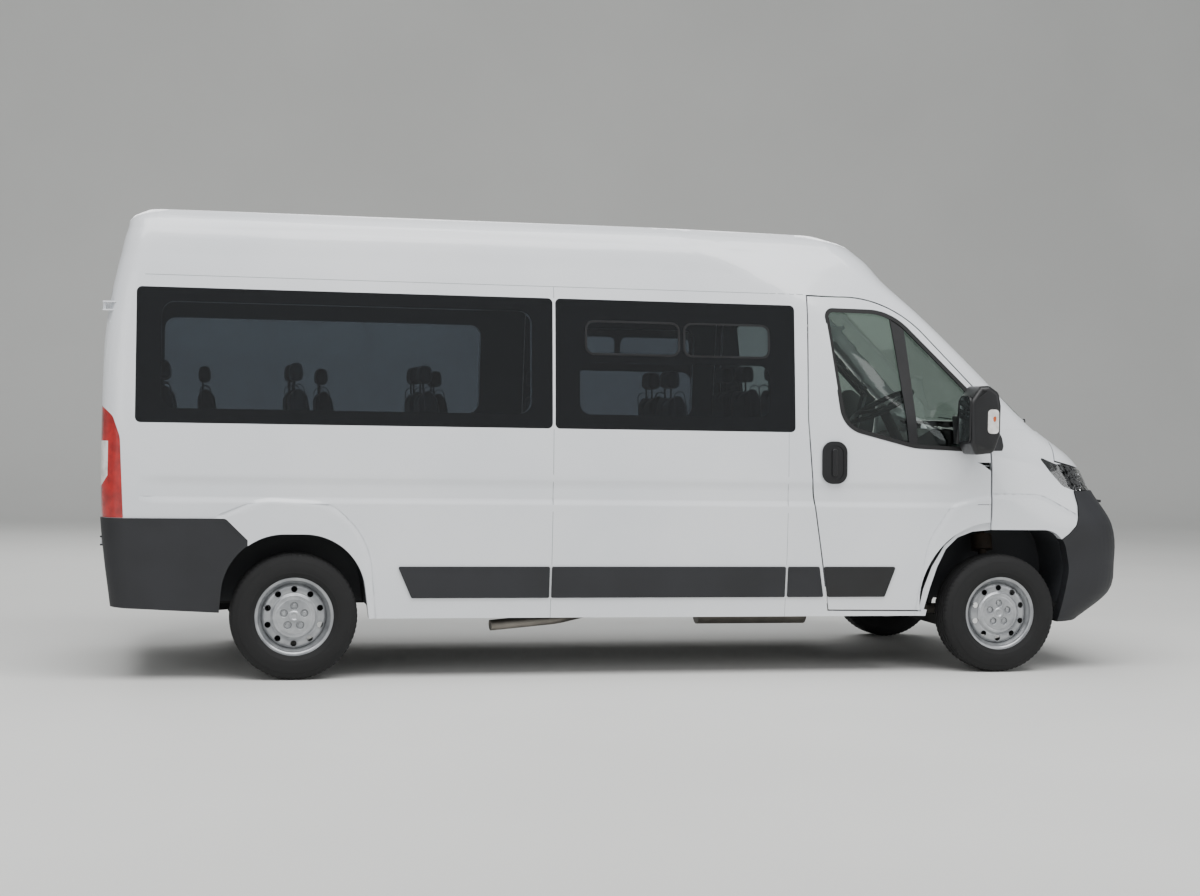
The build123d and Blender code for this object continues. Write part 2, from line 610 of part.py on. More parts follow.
with BuildPart() as floor:
    add(floor_box)
    add(trim_face, mode=Mode.INTERSECT)
    add(rear_room, mode=Mode.SUBTRACT)
    add(other_side(rear_room), mode=Mode.SUBTRACT)
    for piece in (cab_floor, firewall, rail_right, other_side(rail_right),
                  block((2500, 2560), (-rail_y[1], rail_y[1]), rail_z)):
        add(piece)
    for x in (-2400, -1200, 300, 900):
        add(block((x - 30, x + 30), (-rail_y[0], rail_y[0]), (480, floor_z[0] + 1)))
    for house in (rear_house, front_house):
        add(house)
        add(other_side(house))
finish("floor_pan", floor.part)

# ---------------------------------------------------------------- wheels
tyre_r = 341.0
tyre_w = 215.0
rim_r = 209.0
rim_half = 88.0
stub_r = 20.0
hub_z = tyre_r

# columns: distance outward from the wheel's middle plane, radius
tyre_half = [(0, tyre_r), (66, tyre_r - 2), (88, 330), (103, 306), (tyre_w / 2, 262), (97, 225),
             (rim_half + 0.4, rim_r + 0.4), (79.6, rim_r + 0.4), (76.5, 194.2)]
tyre_profile = tyre_half + [(-u, r) for u, r in reversed(tyre_half[1:])]
barrel_profile = [(rim_half, rim_r), (80, rim_r), (77, 193.5), (60, 190), (24, 172), (-50, 172), (-77, 193.5),
                  (-80, rim_r), (-rim_half, rim_r), (-rim_half, 201), (-60, 180), (-50, 164), (24, 164),
                  (60, 181), (rim_half, 201)]
disc_profile = [(44, 175), (58, 152), (61, 130), (58, 118), (66, 108), (70, 84), (68, 50), (74, 27), (72, 0),
                (24, 0), (24, stub_r + run_gap), (-30, stub_r + run_gap), (-30, 80), (34, 80), (40, 104),
                (50, 126), (48, 146), (34, 170)]
nut_count = 5
nut_ring_r = 57.0
nut_r = 20.0
vent_count = 10
vent_ring_r = 146.0
vent_r = 15.0


def revolved(profile, x, y, side):
    """Ring with a section given from the wheel's middle plane, outward on the given side."""
    with BuildPart() as ring:
        with BuildSketch(Plane.XY.offset(hub_z)):
            with BuildLine():
                Polyline(*[(x + r, y + side * u) for u, r in profile], close=True)
            make_face()
        revolve(axis=Axis((x, y, hub_z), (0, 1, 0)), revolution_arc=360)
    return ring.part


def wheel(name, x, y):
    side = 1 if y > 0 else -1
    finish("tyre_" + name, revolved(tyre_profile, x, y, side))
    vents = []
    for n in range(vent_count):
        a = 2 * pi * (n + 0.5) / vent_count
        vx, vz = x + vent_ring_r * cos(a), hub_z + vent_ring_r * sin(a)
        vents.append(rod((vx, y + side * 30, vz), (vx, y + side * 80, vz), vent_r))
    for n in range(nut_count):
        a = 2 * pi * n / nut_count + pi / 2
        nx, nz = x + nut_ring_r * cos(a), hub_z + nut_ring_r * sin(a)
        vents.append(rod((nx, y + side * 56, nz), (nx, y + side * 90, nz), nut_r))
    rim = revolved(barrel_profile, x, y, side) + revolved(disc_profile, x, y, side)
    finish("rim_" + name, cut(rim, *vents))


for name, side in (("right", -1), ("left", 1)):
    wheel("front_" + name, front_axle_x, side * track_front / 2)
    wheel("rear_" + name, rear_axle_x, side * track_rear / 2)

# Rear axle: tube with a stub each end, brake drums and leaf springs
spring_y = 560.0
rear_stub_y = track_rear / 2 + 20
axle_tube = rod((rear_axle_x, -track_rear / 2 + 60, hub_z), (rear_axle_x, track_rear / 2 - 60, hub_z), 38)
with BuildPart() as axle:
    add(axle_tube)
    for side in (-1, 1):
        y_in = side * (track_rear / 2 - 61)
        add(rod((rear_axle_x, y_in, hub_z), (rear_axle_x, side * rear_stub_y, hub_z), stub_r))
        add(rod((rear_axle_x, side * (track_rear / 2 - 110), hub_z),
                (rear_axle_x, side * (track_rear / 2 - 40), hub_z), 130))
        add(block((rear_axle_x - 620, rear_axle_x + 620), sorted([side * (spring_y - 35), side * (spring_y + 35)]),
                  (hub_z + 36, hub_z + 58)))
        for end in (-1, 1):
            x_end = rear_axle_x + end * 600
            add(block((x_end - 25, x_end + 25), sorted([side * (spring_y - 35), side * (spring_y + 35)]),
                      (hub_z + 36, floor_z[0] - seat_gap)))
finish("rear_axle", axle.part)

# Front suspension: cross-member, lower arms, drive shafts and the struts' top mounts
kingpin_low = (front_axle_x, 840.0, 240.0)
kingpin_high = (front_axle_x, 690.0, 806.0)
lean = Vector(0, kingpin_high[1] - kingpin_low[1], kingpin_high[2] - kingpin_low[2]).normalized()
ball_r = 14.0


def kingpin_at(z):
    """Point of the right-hand steering axis at a height."""
    t = (z - kingpin_low[2]) / (kingpin_high[2] - kingpin_low[2])
    return (front_axle_x, -(kingpin_low[1] + t * (kingpin_high[1] - kingpin_low[1])), z)


cross_member = block((front_axle_x - 120, front_axle_x + 60), (-400, 400), (205, 265))
tower_plate = block((front_axle_x - 60, front_axle_x + 60), (-760, -front_house_y - 8), (812, 827.7))
with BuildPart() as susp:
    add(cross_member)
    for x in (-90, 30):
        for side in (-1, 1):
            add(block((front_axle_x + x - 20, front_axle_x + x + 20), sorted([side * 385, side * 425]),
                      (250, 450 - seat_gap)))
low = kingpin_at(209)
arm_profile = [(front_axle_x - 110, -380), (front_axle_x + 50, -380), (front_axle_x + 22, low[1] - 20),
               (front_axle_x - 22, low[1] - 20)]
with BuildPart() as lower_arm:
    with BuildSketch(Plane.XY.offset(200)):
        with BuildLine():
            Polyline(*arm_profile, close=True)
        make_face()
    extrude(amount=18)
    add(block((front_axle_x - 100, front_axle_x + 40), (-398, -379), (200, 236)))
ball_pin = rod(kingpin_at(206), kingpin_at(266), ball_r)
top_pin = rod(kingpin_at(784), kingpin_at(816), ball_r)
right_arm = lower_arm.part + ball_pin
with BuildPart() as suspension:
    add(susp.part)
    for piece in (right_arm, other_side(right_arm)):
        add(piece)
finish("front_suspension", suspension.part, top_pin + tower_plate, other_side(top_pin + tower_plate))

# Knuckle and strut: upright, stub axle, strut tube and coil in one, about the leaning steering axis
sleeve_low = rod(kingpin_at(234), kingpin_at(268), 22)
sleeve_bore = rod(kingpin_at(200), kingpin_at(267), ball_r + run_gap)
strut_tube = rod(kingpin_at(430), kingpin_at(800), 26)
strut_bore = rod(kingpin_at(782), kingpin_at(830), ball_r + run_gap)
coil = rod(kingpin_at(690), kingpin_at(775), 62)
upright = side_prism(rounded([(front_axle_x - 45, 236), (front_axle_x + 45, 236), (front_axle_x + 60, hub_z),
                              (front_axle_x + 32, 470), (front_axle_x - 32, 470), (front_axle_x - 60, hub_z)],
                             [10] * 6), -832, -800)
stub = rod((front_axle_x, -812, hub_z), (front_axle_x, -track_front / 2 - 20, hub_z), stub_r)
knuckle_body = (upright + sleeve_low + strut_tube + coil + stub
                + block((front_axle_x - 24, front_axle_x + 24), (-832, -775), (430, 470))
                + block((front_axle_x - 24, front_axle_x + 24), (-845, -800), (240, 262)))
knuckle_right = cut(knuckle_body, sleeve_bore, strut_bore)
finish("knuckle_right", knuckle_right)
finish("knuckle_left", other_side(knuckle_right))

# Engine across the nose, on its mounts between the rails
finish("engine", block((2240, 2490), (-384.7, 384.7), (430, 1000)))

# Fuel tank under the middle of the floor
with BuildPart() as tank:
    add(block((150, 1050), (-375, 375), (290, 479.7)))
    fillet(tank.edges().filter_by(Axis.Z), radius=60)
finish("fuel_tank", tank.part)

# Exhaust: pipe, silencer and the tail that turns out ahead of the right rear wheel
pipe_r = 30.0
with BuildPart() as exhaust:
    with BuildLine() as route:
        FilletPolyline((1880, -560, 330), (-250, -560, 330), (-520, -800, 305), (-904, -850, 275), radius=[180, 150])
    with BuildSketch(Plane(origin=route.line @ 0, z_dir=route.line % 0)):
        Circle(pipe_r)
    sweep()
    add(rod((1000, -560, 330), (350, -560, 330), 85))
    add(block((340, 360), (-575, -545), (400, floor_z[0] - seat_gap)))
finish("exhaust", exhaust.part)

# Spare wheel, flat under the rear floor
spare_x = -2520.0
with BuildPart() as spare:
    with BuildSketch(Plane.XY.offset(304.7)):
        with Locations((spare_x, 0)):
            Circle(tyre_r)
            Circle(90, mode=Mode.SUBTRACT)
    extrude(amount=tyre_w - 40)
    chamfer(spare.edges().filter_by(GeomType.CIRCLE).sort_by(SortBy.RADIUS)[-2:], length=40)
finish("spare_wheel", spare.part)

# ---------------------------------------------------------------- cabin
driver_y = -470.0
seat_w = 440.0
seat_pitch = 704.0
cushion_z = 1030.0
back_lean = 0.16

# columns: x of the backrest's foot, middle y of the seat
right_rows = [-2610 + n * seat_pitch for n in range(5)]
left_rows = [-2380 + n * seat_pitch for n in range(3)]
seat_places = [(x, y) for x in right_rows for y in (-700, -245)] + [(x, 650) for x in left_rows]
cab_places = [(900, driver_y), (900, 160), (900, 620)]


def seat_solids(x, y, base):
    """Cushion, and the backrest with its head restraint, as two closed solids."""
    y0, y1 = y - seat_w / 2, y + seat_w / 2
    cushion = side_prism(rounded([(x + 20.2, base - 120), (x + 480, base - 120), (x + 500, base),
                                  (x + 54.3, base - 20)], [10, 25, 45, 4]), y0, y1)
    back = side_prism(rounded([(x + 30, base - 90), (x + 58, base - 8), (x - 40, base + 560),
                               (x - 105, base + 560), (x - 62, base - 90)], [10, 30, 35, 30, 20]), y0, y1)
    rest = side_prism(rounded([(x - 95, base + 560.3), (x - 48, base + 560.3), (x - 20, base + 585),
                               (x - 40, base + 690), (x - 110, base + 690), (x - 122, base + 585)],
                              [4, 4, 25, 35, 30, 25]), y - 130, y + 130)
    return cushion, back, rest


house_room = side_prism(rear_arch, -far_y, -rear_house_y + seat_gap, grow=2 + house_t + seat_gap)


def seat_frame(x, y, base, floor):
    """Pan under the cushion on two legs."""
    y0, y1 = y - seat_w / 2 + 20, y + seat_w / 2 - 20
    with BuildPart() as frame:
        add(block((x + 45, x + 470), (y0, y1), (base - 150, base - 120.3)))
        for side in (y0 + 40, y1 - 40):
            add(block((x + 110, x + 390), (side - 15, side + 15), (floor + seat_gap, base - 149)))
    return cut(frame.part, house_room, other_side(house_room))


passenger_solids = [s for x, y in seat_places for s in seat_solids(x, y, cushion_z)]
finish("passenger_seats", *passenger_solids)
cab_solids = [s for x, y in cab_places for s in seat_solids(x, y, cushion_z + 60)]
finish("cab_seats", *cab_solids)
frames = [seat_frame(x, y, cushion_z, floor_z[1]) for x, y in seat_places]
frames += [seat_frame(x, y, cushion_z + 60, floor_z[1]) for x, y in cab_places]
finish("seat_frames", *frames)

# Dashboard across the cab, and the steering wheel on its column
dash_half = 925.0
dash_back = firewall_x - seat_gap
dash = side_prism(rounded([(1850, 880), (1790, 1160), (1840, 1290), (2010, 1380), (dash_back, 1385),
                           (dash_back, 880)], [40, 60, 60, 80, 20, 20]), -dash_half, dash_half)
pod_outline = rounded([(1590, 1230), (1640, 1330), (1760, 1402), (1900, 1390), (1900, 1150), (1760, 1120)],
                      [30, 30, 40, 5, 5, 60])
pod = side_prism(pod_outline, driver_y - 170, driver_y + 170)
dash_piece = cut((dash + pod) & envelope(wall + 17), side_prism(front_arch, -far_y, -front_house_y + 8, grow=12),
                 side_prism(front_arch, front_house_y - 8, far_y, grow=12))
finish("dashboard", max(dash_piece.solids(), key=lambda s: s.volume))

wheel_centre = Vector(1500, driver_y, 1530)
wheel_tilt = radians(28)
column_dir = Vector(sin(wheel_tilt), 0, -cos(wheel_tilt))
with BuildPart() as steering:
    with BuildSketch(Plane(origin=wheel_centre + Vector(0, -195, 0), z_dir=(cos(wheel_tilt), 0, sin(wheel_tilt)))):
        Circle(15)
    revolve(axis=Axis(wheel_centre, column_dir), revolution_arc=360)
    add(rod(tuple(wheel_centre), tuple(wheel_centre + column_dir * 330), 32))
    add(side_prism(pod_outline, driver_y - 200, driver_y + 200, grow=seat_gap), mode=Mode.SUBTRACT)
    for a in (0, 120, 240):
        spoke = Vector(cos(wheel_tilt), 0, sin(wheel_tilt)) * cos(radians(a)) + Vector(0, 1, 0) * sin(radians(a))
        add(rod(tuple(wheel_centre + column_dir * 20), tuple(wheel_centre + spoke * 190), 11))
finish("steering_wheel", max(steering.part.solids(), key=lambda s: s.volume))
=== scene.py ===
from math import cos, pi, radians, sin

import bmesh
import bpy
import numpy as np
from mathutils import Matrix, Vector
from mathutils.bvhtree import BVHTree
from mathutils.geometry import delaunay_2d_cdt


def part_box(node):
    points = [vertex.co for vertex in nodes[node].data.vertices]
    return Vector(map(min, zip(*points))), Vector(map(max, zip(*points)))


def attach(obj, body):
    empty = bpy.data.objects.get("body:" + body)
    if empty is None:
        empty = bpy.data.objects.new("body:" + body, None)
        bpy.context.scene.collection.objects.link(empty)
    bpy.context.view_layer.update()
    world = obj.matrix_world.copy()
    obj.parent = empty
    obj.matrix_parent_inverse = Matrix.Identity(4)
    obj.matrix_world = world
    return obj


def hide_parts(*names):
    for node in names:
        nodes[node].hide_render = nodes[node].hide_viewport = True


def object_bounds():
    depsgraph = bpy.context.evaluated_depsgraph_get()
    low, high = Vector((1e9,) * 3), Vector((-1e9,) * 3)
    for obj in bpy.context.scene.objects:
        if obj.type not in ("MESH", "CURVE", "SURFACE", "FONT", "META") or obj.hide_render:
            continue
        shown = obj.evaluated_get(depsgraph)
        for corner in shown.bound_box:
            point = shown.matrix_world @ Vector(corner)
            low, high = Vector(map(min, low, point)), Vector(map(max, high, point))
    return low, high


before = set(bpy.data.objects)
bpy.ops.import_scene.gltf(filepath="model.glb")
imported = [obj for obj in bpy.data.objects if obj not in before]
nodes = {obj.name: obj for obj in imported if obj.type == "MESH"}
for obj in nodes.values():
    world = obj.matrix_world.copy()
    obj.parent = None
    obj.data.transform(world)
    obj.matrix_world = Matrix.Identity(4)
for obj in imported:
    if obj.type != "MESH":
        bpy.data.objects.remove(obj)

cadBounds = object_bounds()
scene = bpy.context.scene
mm = 0.001

# camera: almost side on, low, turned a little towards the nose
cameraSettings = {
    "place": (-2.5795, -11.410, 1.4447),
    "turn": 0.2127,
    "pitch": -0.0168,
    "roll": 0.0171,
    "lens": 58.0,
}


def addCamera(settings):
    turn, pitch, roll = settings["turn"], settings["pitch"], settings["roll"]
    ahead = Vector((sin(turn) * cos(pitch), cos(turn) * cos(pitch), sin(pitch)))
    right = Vector((cos(turn), -sin(turn), 0))
    up = right.cross(ahead)
    right, up = right * cos(roll) + up * sin(roll), up * cos(roll) - right * sin(roll)
    data = bpy.data.cameras.new("camera")
    data.lens = settings["lens"]
    data.sensor_width = 36
    data.clip_end = 200
    camera = bpy.data.objects.new("camera", data)
    turned = Matrix([(right.x, up.x, -ahead.x), (right.y, up.y, -ahead.y), (right.z, up.z, -ahead.z)])
    camera.matrix_world = Matrix.Translation(settings["place"]) @ turned.to_4x4()
    scene.collection.objects.link(camera)
    scene.camera = camera


addCamera(cameraSettings)


# materials
def toLinear(hexColour):
    parts = [int(hexColour[i:i + 2], 16) / 255 for i in (1, 3, 5)]
    return (*[c / 12.92 if c <= 0.04045 else ((c + 0.055) / 1.055) ** 2.4 for c in parts], 1)


def addNode(tree, kind, inputs=None, **properties):
    # an input is either a value or the socket that feeds it
    node = tree.nodes.new(kind)
    for name, value in properties.items():
        setattr(node, name, value)
    for name, value in (inputs or {}).items():
        if isinstance(value, bpy.types.NodeSocket):
            tree.links.new(value, node.inputs[name])
        else:
            node.inputs[name].default_value = value
    return node


def startMaterial(name, look):
    # the shader takes every plain value from the look; the caller links the patterns
    material = bpy.data.materials.new(name)
    material.use_nodes = True
    tree = material.node_tree
    tree.nodes.clear()
    plain = {"Roughness": look["roughness"], "Metallic": look.get("metallic", 0)}
    for key, socket in (("ior", "IOR"), ("coat", "Coat Weight"), ("coatRoughness", "Coat Roughness"),
                        ("transmission", "Transmission Weight"), ("sheen", "Sheen Weight"),
                        ("sheenRoughness", "Sheen Roughness"), ("subsurface", "Subsurface Weight"),
                        ("emission", "Emission Strength")):
        if key in look:
            plain[socket] = look[key]
    if "emissionColour" in look:
        plain["Emission Color"] = toLinear(look["emissionColour"])
    shader = addNode(tree, "ShaderNodeBsdfPrincipled", plain)
    shader.inputs["Base Color"].default_value = toLinear(look["colour"])
    addNode(tree, "ShaderNodeOutputMaterial", {"Surface": shader.outputs[0]})
    material.diffuse_color = toLinear(look["colour"])
    return material, tree, shader


def noiseOf(tree, size, detail=3, stretch=(1, 1, 1)):
    # noise whose features are about this many metres across, in the object's own frame
    place = addNode(tree, "ShaderNodeTexCoord").outputs["Object"]
    moved = addNode(tree, "ShaderNodeMapping", {"Vector": place, "Scale": stretch})
    return addNode(tree, "ShaderNodeTexNoise", {"Vector": moved.outputs[0], "Scale": 1 / size,
                                                "Detail": detail}).outputs["Fac"]


def between(tree, factor, low, high):
    # a number that runs from low to high as the factor goes from 0 to 1
    return addNode(tree, "ShaderNodeMapRange", {"Value": factor, "To Min": low, "To Max": high}).outputs[0]


def shadesOf(tree, factor, darker, lighter, start=0.35, end=0.65):
    ramp = addNode(tree, "ShaderNodeValToRGB", {"Fac": factor})
    for element, at, colour in zip(ramp.color_ramp.elements, (start, end), (darker, lighter)):
        element.position = at
        element.color = toLinear(colour)
    return ramp.outputs["Color"]


def addBump(tree, shader, height, depth, strength=1.0):
    bump = addNode(tree, "ShaderNodeBump", {"Height": height, "Distance": depth, "Strength": strength})
    tree.links.new(bump.outputs[0], shader.inputs["Normal"])


# colour: sRGB; grain: size of the surface pattern in metres; depth: its height in metres
looks = {
    # urethane paint, sprayed and baked: a diffuse white under a thin clear gloss
    "whiteBakedPaint": {"colour": "#DADDE1", "lighter": "#E2E4E7", "roughness": 0.32, "ior": 1.5, "coat": 0.7,
                        "coatRoughness": 0.06, "grain": 3.5 * mm, "depth": 0.02 * mm, "drift": 0.9},
    # unpainted polypropylene, moulded with a leather grain: dull, its tone drifting a little lighter and
    # darker
    "grainedPolypropylene": {"colour": "#1B1C1F", "lighter": "#232428", "roughness": 0.6, "ior": 1.49,
                             "grain": 2.2 * mm, "depth": 0.25 * mm, "drift": 0.35},
    # ABS, moulded smooth and black
    "blackAbs": {"colour": "#08080A", "lighter": "#101114", "roughness": 0.4, "ior": 1.53, "grain": 1.4 * mm,
                 "depth": 0.08 * mm, "drift": 0.2},
    # EPDM rubber, extruded: black and matt, a little grey with dust
    "sealRubber": {"colour": "#0B0B0C", "lighter": "#161617", "roughness": 0.75, "ior": 1.52, "grain": 3 * mm,
                   "depth": 0.1 * mm, "drift": 0.3},
    # tyre rubber with carbon black, moulded: nearly black, greyed by road dust
    "tyreRubber": {"colour": "#060607", "lighter": "#0C0C0D", "roughness": 0.8, "ior": 1.52,
                   "grain": 2.5 * mm, "depth": 0.25 * mm, "drift": 0.12},
    # pressed steel wheel in silver lacquer
    "silverLacquer": {"colour": "#8F9194", "lighter": "#A9ABAD", "roughness": 0.36, "metallic": 0.75,
                      "coat": 0.4, "coatRoughness": 0.12, "grain": 1.2 * mm, "depth": 0.03 * mm,
                      "drift": 0.08},
    # hub cap: the same lacquer over moulded ABS, a shade brighter
    "capLacquer": {"colour": "#9B9DA0", "lighter": "#B2B4B6", "roughness": 0.3, "metallic": 0.7, "coat": 0.4,
                   "coatRoughness": 0.1, "grain": 1.2 * mm, "depth": 0.03 * mm, "drift": 0.05},
    # chassis steel in black wax
    "chassisWax": {"colour": "#101010", "lighter": "#1E1D1B", "roughness": 0.7, "ior": 1.45, "grain": 9 * mm,
                   "depth": 0.6 * mm, "drift": 0.2},
    # cast iron, as cast, with a skin of rust-brown
    "castIron": {"colour": "#2B2622", "lighter": "#40362E", "roughness": 0.72, "metallic": 0.6,
                 "grain": 4 * mm, "depth": 0.5 * mm, "drift": 0.06},
    # aluminised steel, rolled and heat-stained
    "exhaustSteel": {"colour": "#6E6A64", "lighter": "#8C877F", "roughness": 0.5, "metallic": 0.85,
                     "grain": 7 * mm, "depth": 0.15 * mm, "drift": 0.2},
    # polyamide carpet and vinyl of the cabin floor
    "floorVinyl": {"colour": "#26282B", "lighter": "#303236", "roughness": 0.66, "ior": 1.53, "grain": 5 * mm,
                   "depth": 0.3 * mm, "drift": 0.5},
    # dashboard: soft-grained polypropylene
    "dashPolypropylene": {"colour": "#1F2124", "lighter": "#2A2C30", "roughness": 0.6, "ior": 1.49,
                          "grain": 1.8 * mm, "depth": 0.2 * mm, "drift": 0.25},
    # grey trim panels on the cabin's walls
    "trimPanel": {"colour": "#4A4D52", "lighter": "#565A60", "roughness": 0.7, "ior": 1.49, "grain": 2 * mm,
                  "depth": 0.2 * mm, "drift": 0.5},
    # polyurethane sealer brushed into the laps of the panels, painted over; the grey line is painted shade in
    # the lap
    "jointSealer": {"colour": "#6E7276", "lighter": "#7C8084", "roughness": 0.5, "ior": 1.5, "grain": 2 * mm,
                    "depth": 0.05 * mm, "drift": 0.3},
    # reflective polyester film on the number plates: white, slightly glossy, left blank
    "platePolyester": {"colour": "#D6D6D0", "lighter": "#DEDED9", "roughness": 0.35, "ior": 1.57, "coat": 0.3,
                       "coatRoughness": 0.2, "grain": 1.5 * mm, "depth": 0.02 * mm, "drift": 0.2},
    # screen-printed ceramic round the edge of the glass
    "ceramicPrint": {"colour": "#050506", "lighter": "#08080A", "roughness": 0.2, "ior": 1.52,
                     "grain": 2 * mm, "depth": 0.01 * mm, "drift": 0.4},
}


def mouldedFinish(name):
    # fine grain as bump, broad drift of colour, and roughness that follows the drift
    look = looks[name]
    material, tree, shader = startMaterial(name, look)
    drift = noiseOf(tree, look["drift"], 4)
    fine = noiseOf(tree, look["grain"], 2)
    tree.links.new(shadesOf(tree, drift, look["colour"], look["lighter"]), shader.inputs["Base Color"])
    rough = between(tree, drift, look["roughness"] * 0.88, look["roughness"] * 1.12)
    tree.links.new(rough, shader.inputs["Roughness"])
    addBump(tree, shader, fine, look["depth"])
    return material


finishes = {name: mouldedFinish(name) for name in looks}


def wovenFinish(name, look):
    # two crossed sets of yarns; real ones are 0.6 mm apart, drawn coarser so that they show
    material, tree, shader = startMaterial(name, look)
    place = addNode(tree, "ShaderNodeTexCoord").outputs["Object"]
    yarns = []
    for direction in ("X", "Z"):
        settings = {"Vector": place, "Scale": 0.3142 / look["yarn"] * 0.5, "Distortion": 1.2, "Detail": 1.0}
        wave = addNode(tree, "ShaderNodeTexWave", settings, bands_direction=direction)
        yarns.append(wave.outputs["Fac"])
    weave = addNode(tree, "ShaderNodeMath", {0: yarns[0], 1: yarns[1]}, operation="MULTIPLY").outputs[0]
    fleck = noiseOf(tree, look["fleck"], 4)
    mixed = addNode(tree, "ShaderNodeMath", {0: weave, 1: fleck}, operation="ADD").outputs[0]
    shades = shadesOf(tree, mixed, look["colour"], look["lighter"], 0.4, 1.1)
    tree.links.new(shades, shader.inputs["Base Color"])
    addBump(tree, shader, weave, look["depth"])
    return material


# tightly woven polyester, dyed charcoal: soft sheen at the edges, flecks of lighter yarn
fabricLook = {"colour": "#1C1E22", "lighter": "#3A3E45", "roughness": 0.85, "ior": 1.5, "sheen": 0.35,
              "sheenRoughness": 0.4, "yarn": 2.4 * mm, "fleck": 4 * mm, "depth": 0.4 * mm}
finishes["wovenPolyester"] = wovenFinish("wovenPolyester", fabricLook)

glassLooks = {
    # body-tinted privacy glass: grey-black, the light loses most of itself in each pane
    "privacyGlass": {"colour": "#8E969E", "roughness": 0.0, "ior": 1.52, "transmission": 1.0},
    # green-tinted glass of the doors and the screen
    "tintedGlass": {"colour": "#C3CFC9", "roughness": 0.0, "ior": 1.52, "transmission": 1.0},
    # polycarbonate lamp cover with a hard coat
    "clearPolycarbonate": {"colour": "#F2F4F5", "roughness": 0.03, "ior": 1.586, "transmission": 1.0},
}


def glassFinish(name):
    look = glassLooks[name]
    material, tree, shader = startMaterial(name, look)
    haze = noiseOf(tree, 0.6, 3)
    rough = between(tree, haze, look["roughness"], look["roughness"] + 0.02)
    tree.links.new(rough, shader.inputs["Roughness"])
    return material


finishes.update({name: glassFinish(name) for name in glassLooks})

lampLooks = {
    # red acrylic lens over optics: deep colour with a gloss, ribbed on the inside
    "redAcrylic": {"colour": "#8E0605", "lighter": "#B30C09", "roughness": 0.1, "ior": 1.49, "coat": 0.8,
                   "coatRoughness": 0.04, "ribs": 6 * mm, "depth": 0.3 * mm},
    # clear acrylic over a white reflector
    "clearAcrylic": {"colour": "#C9C6C2", "lighter": "#EDEBE8", "roughness": 0.12, "ior": 1.49, "coat": 0.8,
                     "coatRoughness": 0.04, "ribs": 9 * mm, "depth": 0.6 * mm},
    # amber bulb glass
    "amberGlass": {"colour": "#B4532B", "lighter": "#C8683A", "roughness": 0.1, "ior": 1.52, "coat": 0.5,
                   "coatRoughness": 0.05, "ribs": 12 * mm, "depth": 0.1 * mm},
    # vacuum-metallised reflector
    "reflectorChrome": {"colour": "#C8CACC", "lighter": "#E4E5E6", "roughness": 0.12, "metallic": 1.0,
                        "ribs": 14 * mm, "depth": 0.5 * mm},
    # silvered glass of the mirrors
    "mirrorGlass": {"colour": "#D4D8DA", "lighter": "#DDE0E2", "roughness": 0.02, "metallic": 1.0,
                    "ribs": 400 * mm, "depth": 0.01 * mm},
}


def ribbedFinish(name):
    look = lampLooks[name]
    material, tree, shader = startMaterial(name, look)
    place = addNode(tree, "ShaderNodeTexCoord").outputs["Object"]
    ribs = addNode(tree, "ShaderNodeTexWave", {"Vector": place, "Scale": 1 / look["ribs"] / (2 * pi) * 3.1},
                   bands_direction="Z").outputs["Fac"]
    drift = noiseOf(tree, 0.05, 2)
    tree.links.new(shadesOf(tree, drift, look["colour"], look["lighter"]), shader.inputs["Base Color"])
    addBump(tree, shader, ribs, look["depth"])
    return material


finishes.update({name: ribbedFinish(name) for name in lampLooks})
print("stage: materials made")

# the body's outer surface, from its level sections in millimetres
bodyShape = {
    # height, tail x, tail corner radius, half width, x where the nose tapers, front corner x,
    # its half width, how far the middle stands ahead of it, front corner radius
    "levels": [
        (285, -2922, 90, 984, 2150, 2610, 900, 120, 300),
        (450, -2943, 100, 1000, 2250, 2815, 925, 155, 330),
        (620, -2966, 110, 1014, 2300, 2842, 930, 161, 330),
        (860, -2991, 120, 1022, 2280, 2815, 930, 165, 330),
        (1040, -2999, 120, 1025, 2150, 2680, 905, 215, 300),
        (1220, -2999, 125, 1020, 2050, 2570, 880, 230, 280),
        (1430, -2998, 125, 1009, 1560, 2290, 880, 200, 240),
        (1600, -2996, 130, 993, 1300, 2105, 870, 190, 210),
        (1850, -2985, 130, 967, 1100, 1845, 835, 180, 200),
        (2085, -2950, 130, 938, 900, 1590, 800, 165, 200),
        (2250, -2915, 130, 910, 600, 1400, 770, 160, 220),
        (2400, -2878, 130, 876, 300, 1265, 720, 150, 250),
        (2475, -2845, 120, 835, 200, 1150, 690, 140, 260),
        (2510, -2780, 110, 770, 100, 1040, 640, 120, 240),
        (2524, -2600, 90, 640, 0, 850, 520, 100, 200),
    ],
    "taperRadius": 1500,
    "browRadius": 900,
    "steps": (3, 8, 24, 8, 12, 10, 10, 12),   # points along each run and corner, tail to nose
}


def arcPoints(before, corner, after, radius, count):
    # the round of a corner, from tangent point to tangent point
    before, corner, after = (np.array(p, float) for p in (before, corner, after))
    inward, outward = before - corner, after - corner
    inward, outward = inward / np.linalg.norm(inward), outward / np.linalg.norm(outward)
    half = np.arccos(np.clip(inward @ outward, -1, 1)) / 2
    reach = radius / np.tan(half)
    middle = (inward + outward) / np.linalg.norm(inward + outward)
    centre = corner + middle * radius / np.sin(half)
    start, end = corner + inward * reach - centre, corner + outward * reach - centre
    turn = np.arctan2(start[0] * end[1] - start[1] * end[0], start @ end)
    angles = np.linspace(0, turn, count + 1)
    return np.stack([centre[0] + start[0] * np.cos(angles) - start[1] * np.sin(angles),
                     centre[1] + start[0] * np.sin(angles) + start[1] * np.cos(angles)], 1)


